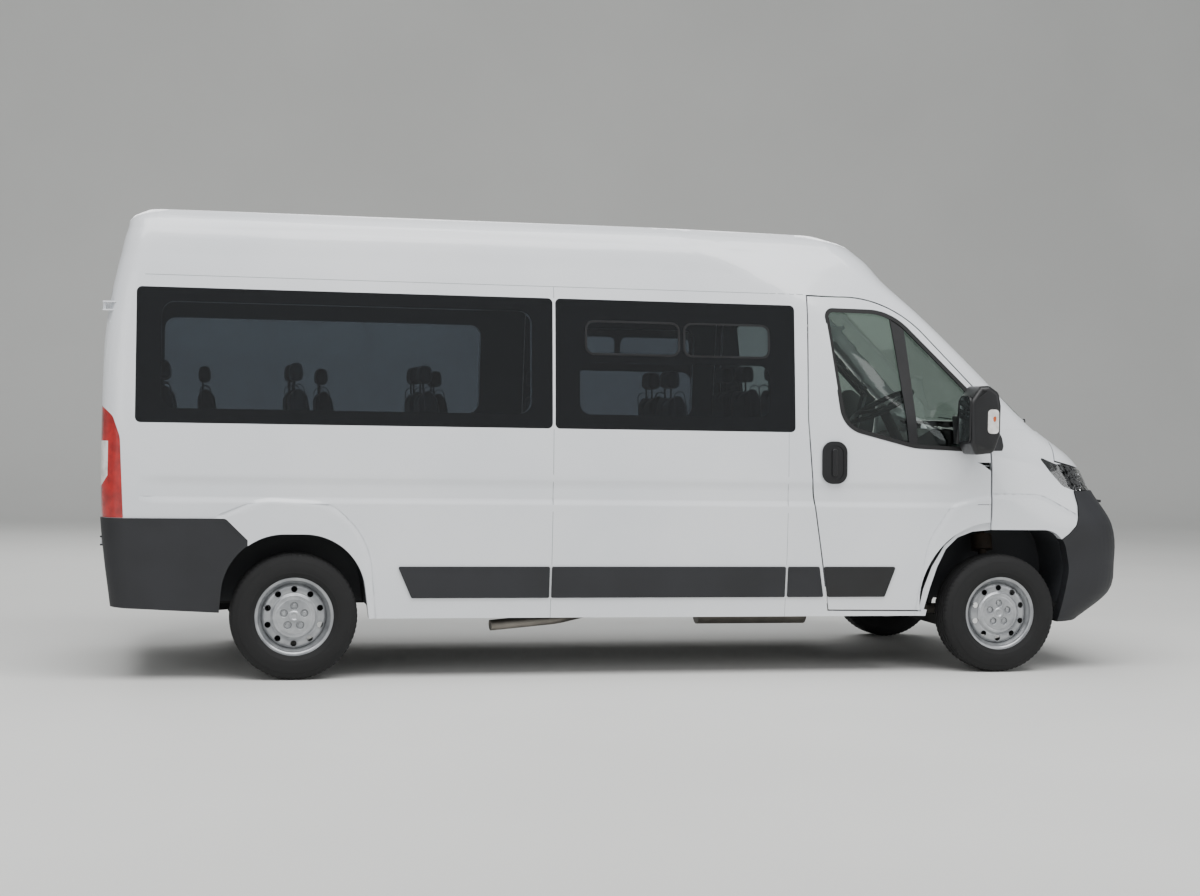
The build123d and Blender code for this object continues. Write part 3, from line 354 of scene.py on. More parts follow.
def levelOutline(row):
    # half of one level section, tail to nose, always with the same number of points
    _, tailX, tailR, half, taperX, cornerX, cornerHalf, bulge, cornerR = row
    points = [(tailX, 0), (tailX, half), (taperX, half), (cornerX, cornerHalf), (cornerX + bulge, 0),
              (cornerX, -cornerHalf)]
    radii = [tailR, bodyShape["taperRadius"], cornerR, bodyShape["browRadius"]]
    steps = bodyShape["steps"]
    counts = [steps[1], steps[3], steps[5], 2 * steps[7]]
    arcs = [arcPoints(points[n], points[n + 1], points[n + 2], radii[n], counts[n]) for n in range(4)]
    arcs[3] = arcs[3][:steps[7] + 1]      # the brow's arc ends at the middle of the nose
    line, last = [], np.array(points[0], float)
    for n, arc in enumerate(arcs):
        run = np.linspace(last, arc[0], steps[2 * n] + 1)
        line += [run[:-1], arc[:-1]]
        last = arc[-1]
    return np.concatenate(line + [last[None]]) * mm


levelZ = np.array([row[0] for row in bodyShape["levels"]]) * mm
levelLines = np.array([levelOutline(row) for row in bodyShape["levels"]])
levelSlopes = np.zeros_like(levelLines)
secants = np.diff(levelLines, axis=0) / np.diff(levelZ)[:, None, None]
spans = np.diff(levelZ)[:, None, None]
levelSlopes[1:-1] = (secants[:-1] * spans[1:] + secants[1:] * spans[:-1]) / (spans[1:] + spans[:-1])
levelSlopes[0], levelSlopes[-1] = secants[0], secants[-1]


def outlinesAt(z):
    # the straight-sided and the smooth outline at each height
    z = np.clip(z, levelZ[0], levelZ[-1])
    n = np.clip(np.searchsorted(levelZ, z) - 1, 0, len(levelZ) - 2)
    span = (levelZ[n + 1] - levelZ[n])[:, None, None]
    t = ((z - levelZ[n])[:, None, None]) / span
    flat = levelLines[n] * (1 - t) + levelLines[n + 1] * t
    smooth = ((2 * t ** 3 - 3 * t ** 2 + 1) * levelLines[n]
              + (t ** 3 - 2 * t ** 2 + t) * span * levelSlopes[n]
              + (3 * t ** 2 - 2 * t ** 3) * levelLines[n + 1]
              + (t ** 3 - t ** 2) * span * levelSlopes[n + 1])
    return flat, smooth


def outlineNormals(lines):
    along = np.gradient(lines, axis=1)
    normals = np.stack([-along[..., 1], along[..., 0]], -1)
    normals /= np.linalg.norm(normals, axis=-1, keepdims=True)
    return normals


def sideOf(x, z, depth=0.0):
    # half width of the smooth body at (x, z), measured in by depth
    x, z = np.atleast_1d(x).astype(float), np.atleast_1d(z).astype(float)
    _, smooth = outlinesAt(z)
    normals = outlineNormals(smooth)
    sunk = smooth - normals * np.broadcast_to(depth, z.shape)[:, None, None]
    start = bodyShape["steps"][0]
    return np.array([np.interp(a, line[start:, 0], line[start:, 1]) for a, line in zip(x, sunk)])


def smoothStep(value, low, high):
    t = np.clip((value - low) / (high - low), 0, 1)
    return t * t * (3 - 2 * t)


# the pressings of the side: a long hollow under the windows and a flare round each wheel arch
pressings = {
    "hollow": {"top": 1.100, "dark": 1.040, "foot": 0.985, "bottom": 0.945, "depth": 0.011, "tail": -2.80,
               "nose": (1.70, 1.92)},
    "flareHeight": 0.008,
    "flareSoft": 0.034,
    # corners of each flare's outline and their radii, in millimetres
    "rearFlare": ([(-2440, 250), (-2440, 868), (-2150, 985), (-1800, 962), (-1592, 760), (-1540, 250)],
                  [5, 90, 260, 260, 420, 5]),
    "frontFlare": ([(1515, 250), (1590, 760), (1740, 985), (1960, 1034), (2290, 1034), (2560, 900),
                    (2560, 250)], [5, 400, 180, 260, 300, 60, 5]),
}


def roundedOutline(points, radii, perCorner=8):
    # closed outline in metres, from corner points in millimetres
    count = len(points)
    arcs = [arcPoints(points[n - 1], points[n], points[(n + 1) % count], radii[n], perCorner)
            for n in range(count)]
    return np.concatenate(arcs) * mm


def insideBy(outline, x, z):
    # how far each point lies inside a closed outline, negative outside
    p = np.stack([x, z], -1)
    a, b = outline, np.roll(outline, -1, 0)
    edge = b - a
    lengths = np.maximum((edge ** 2).sum(1), 1e-12)
    distance = np.full(len(p), 1e9)
    crossings = np.zeros(len(p), int)
    for start, along, end, square in zip(a, edge, b, lengths):
        t = np.clip(((p - start) @ along) / square, 0, 1)
        distance = np.minimum(distance, np.hypot(*(p - start - t[:, None] * along).T))
        spans = (start[1] > p[:, 1]) != (end[1] > p[:, 1])
        rise = along[1] if abs(along[1]) > 1e-12 else 1e-12
        crossings += spans & (p[:, 0] < start[0] + (p[:, 1] - start[1]) / rise * along[0])
    return np.where(crossings % 2 == 1, distance, -distance)


flares = [roundedOutline(*pressings[name]) for name in ("rearFlare", "frontFlare")]


def pressedOut(x, z):
    # how far the pressings stand out of the plain side at (x, z)
    hollow = pressings["hollow"]
    depth = smoothStep(-z, -hollow["top"], -hollow["dark"]) * smoothStep(z, hollow["bottom"], hollow["foot"])
    ends = smoothStep(x, hollow["tail"], hollow["tail"] + 0.06) * (1 - smoothStep(x, *hollow["nose"]))
    out = -hollow["depth"] * depth * ends
    for flare in flares:
        raised = smoothStep(insideBy(flare, x, z), 0, pressings["flareSoft"])
        out = out * (1 - raised) + pressings["flareHeight"] * raised
    return out


# mesh helpers
def newPiece(name, mesh, finish, body="root", replaced=()):
    piece = bpy.data.objects.new(name, mesh)
    scene.collection.objects.link(piece)
    # the softened nose and tail end where the solids end
    for vertex in mesh.vertices:
        vertex.co.x = min(max(vertex.co.x, cadBounds[0][0]), cadBounds[1][0])
    for one in finish if isinstance(finish, (list, tuple)) else [finish]:
        mesh.materials.append(finishes[one])
    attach(piece, body)
    if replaced:
        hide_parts(*replaced)


def openMesh(mesh, weld=0.0):
    # an editable copy of a mesh, with points closer than the weld distance made one
    work = bmesh.new()
    work.from_mesh(mesh)
    if weld:
        bmesh.ops.remove_doubles(work, verts=work.verts, dist=weld)
    return work


def closeMesh(work, name):
    mesh = bpy.data.meshes.new(name)
    work.to_mesh(mesh)
    work.free()
    return mesh


def movePoints(work, places):
    for vertex, place in zip(work.verts, places):
        vertex.co = place


def evaluated(piece):
    # the piece's mesh with its modifiers applied
    return bpy.data.meshes.new_from_object(piece.evaluated_get(bpy.context.evaluated_depsgraph_get()))


def meshFrom(name, vertices, faces, sharp=40):
    mesh = bpy.data.meshes.new(name)
    mesh.from_pydata([tuple(map(float, v)) for v in vertices], [], faces)
    shadeByAngle(mesh, sharp)
    return mesh


def shadeByAngle(mesh, sharp=40):
    # smooth faces, with the edges that turn by more than the angle kept sharp
    work = openMesh(mesh)
    bmesh.ops.recalc_face_normals(work, faces=work.faces)
    limit = radians(sharp)
    for face in work.faces:
        face.smooth = True
    for edge in work.edges:
        edge.smooth = len(edge.link_faces) == 2 and edge.calc_face_angle(0) < limit
    work.to_mesh(mesh)
    work.free()


def joinMeshes(name, meshes, sharp=40):
    work = bmesh.new()
    for mesh in meshes:
        work.from_mesh(mesh)
    joined = closeMesh(work, name)
    shadeByAngle(joined, sharp)
    return joined


def blockMesh(low, high, bevel=0.004, segments=2):
    # box between two corners with its edges rounded
    work = bmesh.new()
    bmesh.ops.create_cube(work, size=1)
    for vertex in work.verts:
        vertex.co = Vector([(a + b) / 2 + c * (b - a) for a, b, c in zip(low, high, vertex.co)])
    bmesh.ops.bevel(work, geom=work.edges[:], offset=bevel, segments=segments, affect="EDGES", profile=0.5)
    return closeMesh(work, "block")


def bandFaces(rings, count, closed=True):
    # faces between rings of points, the last ring joined to the first
    faces = []
    for n in range(rings):
        here, after = n * count, (n + 1) % rings * count
        for k in range(count if closed else count - 1):
            j = (k + 1) % count
            faces.append((here + k, after + k, after + j, here + j))
    return faces


def turnedMesh(profile, segments=96, closed=True, sharp=35):
    # ring or disc round the Y axis from (distance out along Y, radius) points in metres
    vertices = []
    for angle in np.linspace(0, 2 * pi, segments, endpoint=False):
        vertices += [(r * cos(angle), u, r * sin(angle)) for u, r in profile]
    mesh = bpy.data.meshes.new("turned")
    mesh.from_pydata(vertices, [], bandFaces(segments, len(profile), closed))
    work = openMesh(mesh, 1e-5)
    work.to_mesh(mesh)
    work.free()
    shadeByAngle(mesh, sharp)
    return mesh


def tubeMesh(points, radius, sides=10, closed=False):
    # round bar along a path of points
    points = [Vector(p) for p in points]
    count = len(points)
    vertices, faces = [], []
    normal = None
    for n, point in enumerate(points):
        after = points[(n + 1) % count] if closed or n < count - 1 else point
        before = points[n - 1] if closed or n else point
        along = (after - before).normalized()
        if normal is None:
            normal = along.orthogonal().normalized()
        normal = (normal - along * normal.dot(along)).normalized()
        across = along.cross(normal)
        for k in range(sides):
            a = 2 * pi * k / sides
            vertices.append(point + (normal * cos(a) + across * sin(a)) * radius)
    for n in range(count if closed else count - 1):
        m = (n + 1) % count
        for k in range(sides):
            j = (k + 1) % sides
            faces.append((n * sides + k, n * sides + j, m * sides + j, m * sides + k))
    if not closed:
        faces += [tuple(range(sides)), tuple(range((count - 1) * sides, count * sides))]
    return meshFrom("tube", vertices, faces, 50)


def flatPattern(outline, holes=(), spacing=0.05):
    # triangles that fill an outline with holes, with even points inside so that it can be bent
    loops = [np.asarray(outline)] + [np.asarray(h) for h in holes]
    points, edges = [], []
    for loop in loops:
        start = len(points)
        points += [Vector(p) for p in loop]
        edges += [(start + n, start + (n + 1) % len(loop)) for n in range(len(loop))]
    low, high = loops[0].min(0), loops[0].max(0)
    columns, rows = (np.arange(a, b, spacing) for a, b in zip(low, high))
    grid = np.stack(np.meshgrid(columns, rows), -1).reshape(-1, 2)
    keep = insideBy(loops[0], grid[:, 0], grid[:, 1]) > spacing * 0.25
    for hole in loops[1:]:
        keep &= insideBy(hole, grid[:, 0], grid[:, 1]) < -spacing * 0.25
    points += [Vector(p) for p in grid[keep]]
    found, _, triangles, *_ = delaunay_2d_cdt(points, edges, [], 1, 1e-6)
    found = np.array([tuple(p) for p in found])
    triangles = np.array([tuple(t) for t in triangles if len(t) == 3])
    middle = found[triangles].mean(1)
    inside = insideBy(loops[0], middle[:, 0], middle[:, 1]) > 0
    for hole in loops[1:]:
        inside &= insideBy(hole, middle[:, 0], middle[:, 1]) < 0
    return found, triangles[inside]


def solidSheet(name, front, back, triangles, sharp=40):
    # closed sheet between two sets of points that share their triangles
    count = len(front)
    edges = {}
    for a, b, c in triangles:
        for pair in ((a, b), (b, c), (c, a)):
            edges[pair] = edges.get(pair, 0) + 1
    rim = [pair for pair in edges if (pair[1], pair[0]) not in edges]
    faces = [tuple(t) for t in triangles] + [tuple(t[::-1] + count) for t in triangles]
    faces += [(b, a, a + count, b + count) for a, b in rim]
    return meshFrom(name, np.concatenate([front, back]), [tuple(int(i) for i in f) for f in faces], sharp)


def sideSheet(name, side, outline, holes=(), depth=0.0, thick=0.003, spacing=0.06, pressed=False):
    # sheet laid on the body's side: side is -1 for the right and 1 for the left, depth is inwards
    found, triangles = flatPattern(outline, holes, spacing)
    x, z = found[:, 0], found[:, 1]
    lift = pressedOut(x, z) if pressed else 0
    front = np.stack([x, side * sideOf(x, z, depth - lift), z], 1)
    back = np.stack([x, side * sideOf(x, z, depth + thick - lift), z], 1)
    return solidSheet(name, front, back, triangles)


# body panels: the CAD panels cut finer, bent to the smooth surface and pressed
rebated = ("side_panel_right", "side_panel_left", "sliding_door")   # panels whose glass lies in a rebate
panelCuts = {
    "alongX": 0.08, "upZ": 0.045, "fine": 0.018,
    "hollowRows": 11,
    "flareMargin": 0.02,
    "weld": 2e-5,
    "fade": (0.05, 0.11),             # the bend fades out between these depths under the outer surface
    "roofFade": (2.462, 2.484),       # and between these heights
    "batch": 4000,                    # points moved at a time
    "pressedBelow": 1.3, "pressedAhead": -2.86,
    "lookFrom": 1.4, "outerGap": 0.002, "sideGap": 0.014,
    "rebateDepth": (0.0025, 0.013), "rebateZ": (1.365, 2.089), "rebateAhead": 0.812, "rebateSink": 5 * mm,
    "ceilingAbove": 2.3,
    "sharp": 32,
}


def moveToSmooth(points):
    # shift from the straight-sided surface to the smooth one, then out or in by the pressings
    moved = points.copy()
    for start in range(0, len(points), panelCuts["batch"]):
        batch = slice(start, start + panelCuts["batch"])
        part = points[batch]
        x, y, z = part.T
        side = np.where(y < 0, -1.0, 1.0)
        flat, smooth = outlinesAt(z)
        gaps = np.hypot(flat[..., 0] - x[:, None], flat[..., 1] - np.abs(y)[:, None])
        rows = np.arange(len(part))
        best = gaps.argmin(1)
        nearest = np.full(len(part), 1e9)
        offset = np.zeros((len(part), 2))
        for step in (-1, 0):
            a = np.clip(best + step, 0, flat.shape[1] - 2)
            first, second = flat[rows, a], flat[rows, a + 1]
            edge = second - first
            here = np.stack([x, np.abs(y)], 1) - first
            t = np.clip((here * edge).sum(1) / np.maximum((edge ** 2).sum(1), 1e-12), 0, 1)
            gap = here - t[:, None] * edge
            distance = np.hypot(*gap.T)
            closer = distance < nearest
            nearest = np.where(closer, distance, nearest)
            shift = (smooth[rows, a] - first) * (1 - t)[:, None] + (smooth[rows, a + 1] - second) * t[:, None]
            out = np.stack([-edge[:, 1], edge[:, 0]], 1) / np.maximum(np.hypot(*edge.T), 1e-9)[:, None]
            across = (shift * out).sum(1)[:, None] * out
            offset[closer] = across[closer]
        weight = (1 - smoothStep(nearest, *panelCuts["fade"])) * (1 - smoothStep(z, *panelCuts["roofFade"]))
        moved[batch, 0] += offset[:, 0] * weight
        moved[batch, 1] += side * offset[:, 1] * weight
    return moved


def cutPanel(work, node, pressed):
    # an even grid of edges, closer together where the flares and the hollow are
    low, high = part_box(node)

    def cutAt(axis, place, faces):
        point, normal = [0, 0, 0], [0, 0, 0]
        point[axis], normal[axis] = place, 1
        geometry = {e for f in faces for e in f.edges} | {v for f in faces for v in f.verts} | set(faces)
        bmesh.ops.bisect_plane(work, geom=list(geometry), plane_co=point, plane_no=normal, dist=1e-5)

    for axis, step in ((0, panelCuts["alongX"]), (2, panelCuts["upZ"])):
        for place in np.arange(low[axis] + step / 2, high[axis], step):
            cutAt(axis, place, work.faces[:])
    if not pressed:
        return
    hollow, fine = pressings["hollow"], panelCuts["fine"]
    for place in np.linspace(hollow["bottom"], hollow["top"], panelCuts["hollowRows"]):
        cutAt(2, place, work.faces[:])
    for flare in flares:
        (x0, z0), (x1, z1) = flare.min(0) - panelCuts["flareMargin"], flare.max(0) + panelCuts["flareMargin"]
        for axis, start, end in ((0, x0, x1), (2, z0, z1)):
            for place in np.arange(start, end, fine):
                if low[axis] < place < high[axis]:
                    near = [f for f in work.faces if x0 < f.calc_center_median().x < x1
                            and f.calc_center_median().z < z1]
                    cutAt(axis, place, near)


def pressPanel(work, points, moved):
    # only the outer faces follow the pressings: those that a ray from outside meets first
    outer = set()
    for face in work.faces:
        middle = face.calc_center_median()
        inward = abs(face.normal.y) < 0.5 or face.normal.y * middle.y < 0
        if inward or middle.z > panelCuts["pressedBelow"] or middle.x < panelCuts["pressedAhead"]:
            continue
        side = 1 if middle.y > 0 else -1
        start = Vector((middle.x, side * panelCuts["lookFrom"], middle.z))
        hit = outerTree.ray_cast(start, Vector((0, -side, 0)))[0]
        gap = abs(sideOf(middle.x, middle.z)[0] - abs(middle.y))
        if hit and abs(hit.y - middle.y) < panelCuts["outerGap"] and gap < panelCuts["sideGap"]:
            outer |= {v.index for v in face.verts}
    near = np.array(sorted(outer), int)
    x, y, z = points[near].T
    moved[near, 1] = np.sign(y) * (sideOf(x, z) + pressedOut(x, z))


def sinkRebates(points, moved):
    # the rebates of the glass go deeper, to leave room for the printed border
    x, _, z = points.T
    depth = sideOf(x, z) - np.abs(moved[:, 1])
    (shallow, deep), (foot, top) = panelCuts["rebateDepth"], panelCuts["rebateZ"]
    floor = (depth > shallow) & (depth < deep) & (z > foot) & (z < top) & (x < panelCuts["rebateAhead"])
    moved[floor, 1] -= np.sign(moved[floor, 1]) * panelCuts["rebateSink"]


def lineInside(work):
    # the second material goes on the faces that look into the cabin
    for face in work.faces:
        middle = face.calc_center_median()
        inward = Vector((0, -middle.y, 0)) if abs(face.normal.y) > 0.5 else Vector((0, 0, 0))
        if middle.z > panelCuts["ceilingAbove"] and face.normal.z < -0.5:
            inward = face.normal
        face.material_index = 1 if face.normal.dot(inward) > 0 else 0


def dressPanel(node, finish, body, pressed=False, inner=None):
    # a copy of the node's mesh, cut into small faces, that follows the smooth surface
    work = openMesh(nodes[node].data, panelCuts["weld"])
    cutPanel(work, node, pressed)
    work.verts.index_update()
    work.normal_update()
    points = np.array([v.co for v in work.verts])
    moved = moveToSmooth(points)
    if pressed:
        pressPanel(work, points, moved)
    if node in rebated:
        sinkRebates(points, moved)
    movePoints(work, moved)
    if inner:
        lineInside(work)
    bmesh.ops.remove_doubles(work, verts=work.verts, dist=panelCuts["weld"] / 2)
    mesh = closeMesh(work, node + "_shell")
    shadeByAngle(mesh, panelCuts["sharp"])
    newPiece(node + "_shell", mesh, [finish, inner] if inner else finish, body, [node])


# studio: pale floor that curves up behind, one large softbox above, soft fills
studio = {
    "halfWide": 70, "near": -60, "bendFrom": 14, "bendRadius": 6, "wallTop": 40,
    "floor": {"colour": "#D9D9D6", "lighter": "#DEDEDB", "roughness": 0.75, "grain": 0.02, "depth": 0.0002,
              "drift": 3.0},
    "world": "#E8EAEC",
    "worldStrength": 0.6,
    # place, size, power in watts, point that it faces
    "softboxes": [
        ((-0.5, -4.5, 8.5), (13, 5), 1150, (0, 0, 0.8)),
        ((-9.0, -12.0, 5.5), (9, 6), 260, (0, 0, 1.0)),
        ((10.0, -9.0, 4.0), (6, 5), 200, (1.5, 0, 1.0)),
        ((0.0, 9.0, 7.0), (12, 5), 500, (0, 0, 1.0)),
    ],
}


def addFloor():
    looks["floor"] = dict(studio["floor"])
    finishes["floor"] = mouldedFinish("floor")
    start, radius = studio["bendFrom"], studio["bendRadius"]
    bend = [(start + radius * sin(a), radius - radius * cos(a)) for a in np.linspace(0, pi / 2, 13)]
    line = [(studio["near"], 0)] + bend + [(start + radius, studio["wallTop"])]
    work = bmesh.new()
    rows = [[work.verts.new((x, y, z)) for y, z in line] for x in (-studio["halfWide"], studio["halfWide"])]
    for n in range(len(line) - 1):
        work.faces.new((rows[0][n], rows[1][n], rows[1][n + 1], rows[0][n + 1]))
    bmesh.ops.recalc_face_normals(work, faces=work.faces)
    mesh = closeMesh(work, "floor")
    for face in mesh.polygons:
        face.use_smooth = True
    mesh.materials.append(finishes["floor"])
    floor = bpy.data.objects.new("floor", mesh)
    scene.collection.objects.link(floor)


def addLights():
    world = bpy.data.worlds.new("world")
    world.use_nodes = True
    background = world.node_tree.nodes["Background"]
    background.inputs["Color"].default_value = toLinear(studio["world"])
    background.inputs["Strength"].default_value = studio["worldStrength"]
    scene.world = world
    for n, (place, size, power, aim) in enumerate(studio["softboxes"]):
        light = bpy.data.lights.new(f"softbox{n}", "AREA")
        light.shape = "RECTANGLE"
        light.size, light.size_y = size
        light.energy = power
        lamp = bpy.data.objects.new(f"softbox{n}", light)
        lamp.location = place
        lamp.rotation_euler = (Vector(aim) - Vector(place)).to_track_quat("-Z", "Y").to_euler()
        scene.collection.objects.link(lamp)


addFloor()
addLights()
print("stage: studio set")

# every panel and node gets its finish
painted, moulded = ("whiteBakedPaint", "white_paint"), ("grainedPolypropylene", "dark_plastic")
darkPane, palePane = ("privacyGlass", "privacy_glass"), ("tintedGlass", "clear_glass")
panelFinish = {
    # node: (finish and slot, body, pressed, inner finish)
    "side_panel_right": (painted, "root", True, "trimPanel"),
    "side_panel_left": (painted, "root", True, "trimPanel"),
    "sliding_door": (painted, "root", True, "trimPanel"),
    "roof_panel": (painted, "root", False, "trimPanel"),
    "windscreen_frame": (painted, "root", False, None),
    "front_wings": (painted, "root", True, None),
    "bonnet": (painted, "bonnet", False, None),
    "front_door_right": (painted, "front_door_right", True, "trimPanel"),
    "front_door_left": (painted, "front_door_left", True, "trimPanel"),
    "rear_door_right": (painted, "rear_door_right", False, "trimPanel"),
    "rear_door_left": (painted, "rear_door_left", False, "trimPanel"),
    "front_bumper": (moulded, "root", False, None),
    "rear_bumper": (moulded, "root", False, None),
    "side_mouldings": (moulded, "root", False, None),
    "rear_door_glass_right": (darkPane, "rear_door_right", False, None),
    "rear_door_glass_left": (darkPane, "rear_door_left", False, None),
    "front_door_glass_right": (palePane, "front_door_right", False, None),
    "front_door_glass_left": (palePane, "front_door_left", False, None),
    "windscreen": (palePane, "root", False, None),
}
nodeFinish = {
    "grille": "blackAbs", "cowl_panel": "blackAbs",
    "door_trim_right": "blackAbs", "door_trim_left": "blackAbs",
    "door_mirror_right": "blackAbs", "door_mirror_left": "blackAbs",
    "headlamps": "clearPolycarbonate", "tail_lamps": "redAcrylic",
    "floor_pan": "floorVinyl", "fuel_tank": "chassisWax", "rear_axle": "chassisWax",
    "front_suspension": "chassisWax", "seat_frames": "chassisWax",
    "engine": "castIron", "knuckle_right": "castIron", "knuckle_left": "castIron", "exhaust": "exhaustSteel",
    "dashboard": "dashPolypropylene", "steering_wheel": "dashPolypropylene", "spare_wheel": "tyreRubber",
    "passenger_seats": "trimPanel", "cab_seats": "trimPanel",
}
for side in ("right", "left"):
    for end in ("front", "rear"):
        nodeFinish[f"tyre_{end}_{side}"] = "tyreRubber"
        nodeFinish[f"rim_{end}_{side}"] = "silverLacquer"


def paintNode(name, finish):
    mesh = nodes[name].data
    mesh.materials.clear()
    mesh.materials.append(finishes[finish])
    return mesh


for name, finish in nodeFinish.items():
    paintNode(name, finish)
outerMesh = bmesh.new()
for name, ((finish, slot), *_) in panelFinish.items():
    outerMesh.from_mesh(paintNode(name, finish))
outerTree = BVHTree.FromBMesh(outerMesh)
for name, ((finish, slot), body, pressed, inner) in panelFinish.items():
    dressPanel(name, finish, body, pressed, inner)
print("stage: panels dressed")

# wheels: grooved tyre, pressed rim with round vents, cap over the bolts
wheel = {
    "front": {"x": 2.051, "y": 0.905}, "rear": {"x": -1.984, "y": 0.895},
    "height": 0.341,
    # the tyre's section in millimetres: (distance out from its middle, radius)
    "radius": 341, "treadHalf": 66, "crownDrop": 2, "grooveEdge": 1.2,
    "grooves": [(-54, 9, 8), (-19, 10, 8.5), (19, 10, 8.5), (54, 9, 8)],   # middle, width, depth
    "shoulder": [(72, 338.2), (78, 335.6), (83.5, 332.2), (88, 328), (91.5, 321), (96, 312), (100.3, 302.5),
                 (100.9, 300.6), (102.6, 299.8), (105.6, 282), (107.3, 266), (107.0, 252), (104.6, 240),
                 (105.2, 238.6), (103.6, 233.5), (100, 227), (97, 222.5), (94.5, 215.5), (91.6, 211.5),
                 (88.6, 210.2), (80.4, 209.6), (79.2, 200), (76.6, 194.4)],
    "blocks": 72, "skewTurn": 0.45, "skewHalf": 0.066, "skewShare": 0.9, "skewWithin": 0.095,
    "sipeDepth": 3.2 * mm, "sipeAbove": 0.3265, "sipeOutside": 0.024,
    # the rim's sections, the same way
    "barrel": [(88, 209), (87, 210.5), (84.5, 210.8), (80, 208.6), (77.5, 203), (77, 194), (60, 190),
               (48, 181), (24, 172), (-50, 172), (-77, 193.5), (-80, 208.6), (-88, 209), (-88, 201),
               (-60, 180), (-50, 165), (24, 165), (42, 172), (56, 180.5), (66, 187), (71, 190.5),
               (80, 192.6), (84, 197), (86.6, 203)],
    "disc": [(40, 173.5), (52, 168), (58.5, 160), (61, 150), (62, 136), (60.5, 127), (57, 121), (50, 119),
             (49, 112), (60, 100), (60, 40), (40, 36), (36, 60), (36, 104), (41, 117), (46, 124), (54.5, 128),
             (55.5, 140), (55, 150), (52, 158), (46, 164), (34, 168)],
    "rimSegments": 144,
    "vents": (10, 146 * mm, 17 * mm),      # how many, radius of their ring, radius of each
    "ventDepth": (0.058, 0.05), "ventSides": 28,
    "lip": (0.8 * mm, 61.3 * mm, 1.5 * mm),      # grown by, distance out, radius of the roll
    "valve": {"turn": 0.3, "ring": 169 * mm, "start": 60 * mm, "along": (0, 14 * mm, 26 * mm),
              "radius": 3.2 * mm},
    # the cap: outer radius, rings and sides of its bowl
    "cap": (124 * mm, 62, 200),
    "capEdge": [(125.5 * mm, 60 * mm), (125.5 * mm, 54 * mm), (118 * mm, 53 * mm)],
    "bolts": (5, 57 * mm, 12 * mm),
}


def tyreMesh():
    half, edge = wheel["treadHalf"], wheel["grooveEdge"]
    across, sunk = [half], [0]
    for middle, wide, deep in wheel["grooves"][::-1]:
        across += [middle + wide / 2, middle + wide / 2 - edge, middle - wide / 2 + edge, middle - wide / 2]
        sunk += [0, deep, deep, 0]
    crown = [(u, wheel["radius"] - wheel["crownDrop"] * (u / half) ** 2 - deep)
             for u, deep in zip(across + [-half], sunk + [0])]
    line = wheel["shoulder"][::-1] + crown + [(-u, r) for u, r in wheel["shoulder"]]
    profile = [(u * mm, r * mm) for u, r in line]
    segments = wheel["blocks"] * 3
    vertices = []
    for n in range(segments):
        for u, r in profile:
            # the blocks lean round the tyre, and every third step is a sipe across them
            skew = wheel["skewShare"] * u / wheel["skewHalf"] * (2 * pi / wheel["blocks"]) * wheel["skewTurn"]
            a = 2 * pi * n / segments + (skew if abs(u) < wheel["skewWithin"] else 0)
            if n % 3 == 0 and r > wheel["sipeAbove"] and abs(u) > wheel["sipeOutside"]:
                r -= wheel["sipeDepth"]
            vertices.append((r * cos(a), u, r * sin(a)))
    return meshFrom("tyre", vertices, bandFaces(segments, len(profile)), 26)


def ventedDisc():
    # the disc with a round hole cut at each vent
    count, ring, radius = wheel["vents"]
    out, deep = wheel["ventDepth"]
    cutters = []
    for n in range(count):
        a = 2 * pi * (n + 0.5) / count
        place = Matrix.Translation((ring * cos(a), out, ring * sin(a)))
        work = bmesh.new()
        bmesh.ops.create_cone(work, cap_ends=True, segments=wheel["ventSides"], radius1=radius,
                              radius2=radius, depth=deep)
        work.transform(place @ Matrix.Rotation(pi / 2, 4, "X"))
        cutters.append(closeMesh(work, "cutter"))
    dish = turnedMesh([(u * mm, r * mm) for u, r in wheel["disc"]], wheel["rimSegments"])
    target = bpy.data.objects.new("dish", dish)
    tool = bpy.data.objects.new("cutters", joinMeshes("cutters", cutters))
    for one in (target, tool):
        scene.collection.objects.link(one)
    change = target.modifiers.new("vents", "BOOLEAN")
    change.object, change.solver, change.operation = tool, "EXACT", "DIFFERENCE"
    holed = evaluated(target)
    for one in (target, tool):
        bpy.data.objects.remove(one)
    return holed


def rimMesh():
    rims = [turnedMesh([(u * mm, r * mm) for u, r in wheel["barrel"]], wheel["rimSegments"]), ventedDisc()]
    count, ring, radius = wheel["vents"]
    grow, out, roll = wheel["lip"]
    for n in range(count):
        a = 2 * pi * (n + 0.5) / count
        path = [(ring * cos(a) + (radius + grow) * cos(t), out, ring * sin(a) + (radius + grow) * sin(t))
                for t in np.linspace(0, 2 * pi, wheel["ventSides"], endpoint=False)]
        rims.append(tubeMesh(path, roll, 6, True))
    valve = wheel["valve"]
    x, z = valve["ring"] * cos(valve["turn"]), valve["ring"] * sin(valve["turn"])
    rims.append(tubeMesh([(x, valve["start"] + along, z) for along in valve["along"]], valve["radius"], 10))
    return joinMeshes("rim", rims, 30)


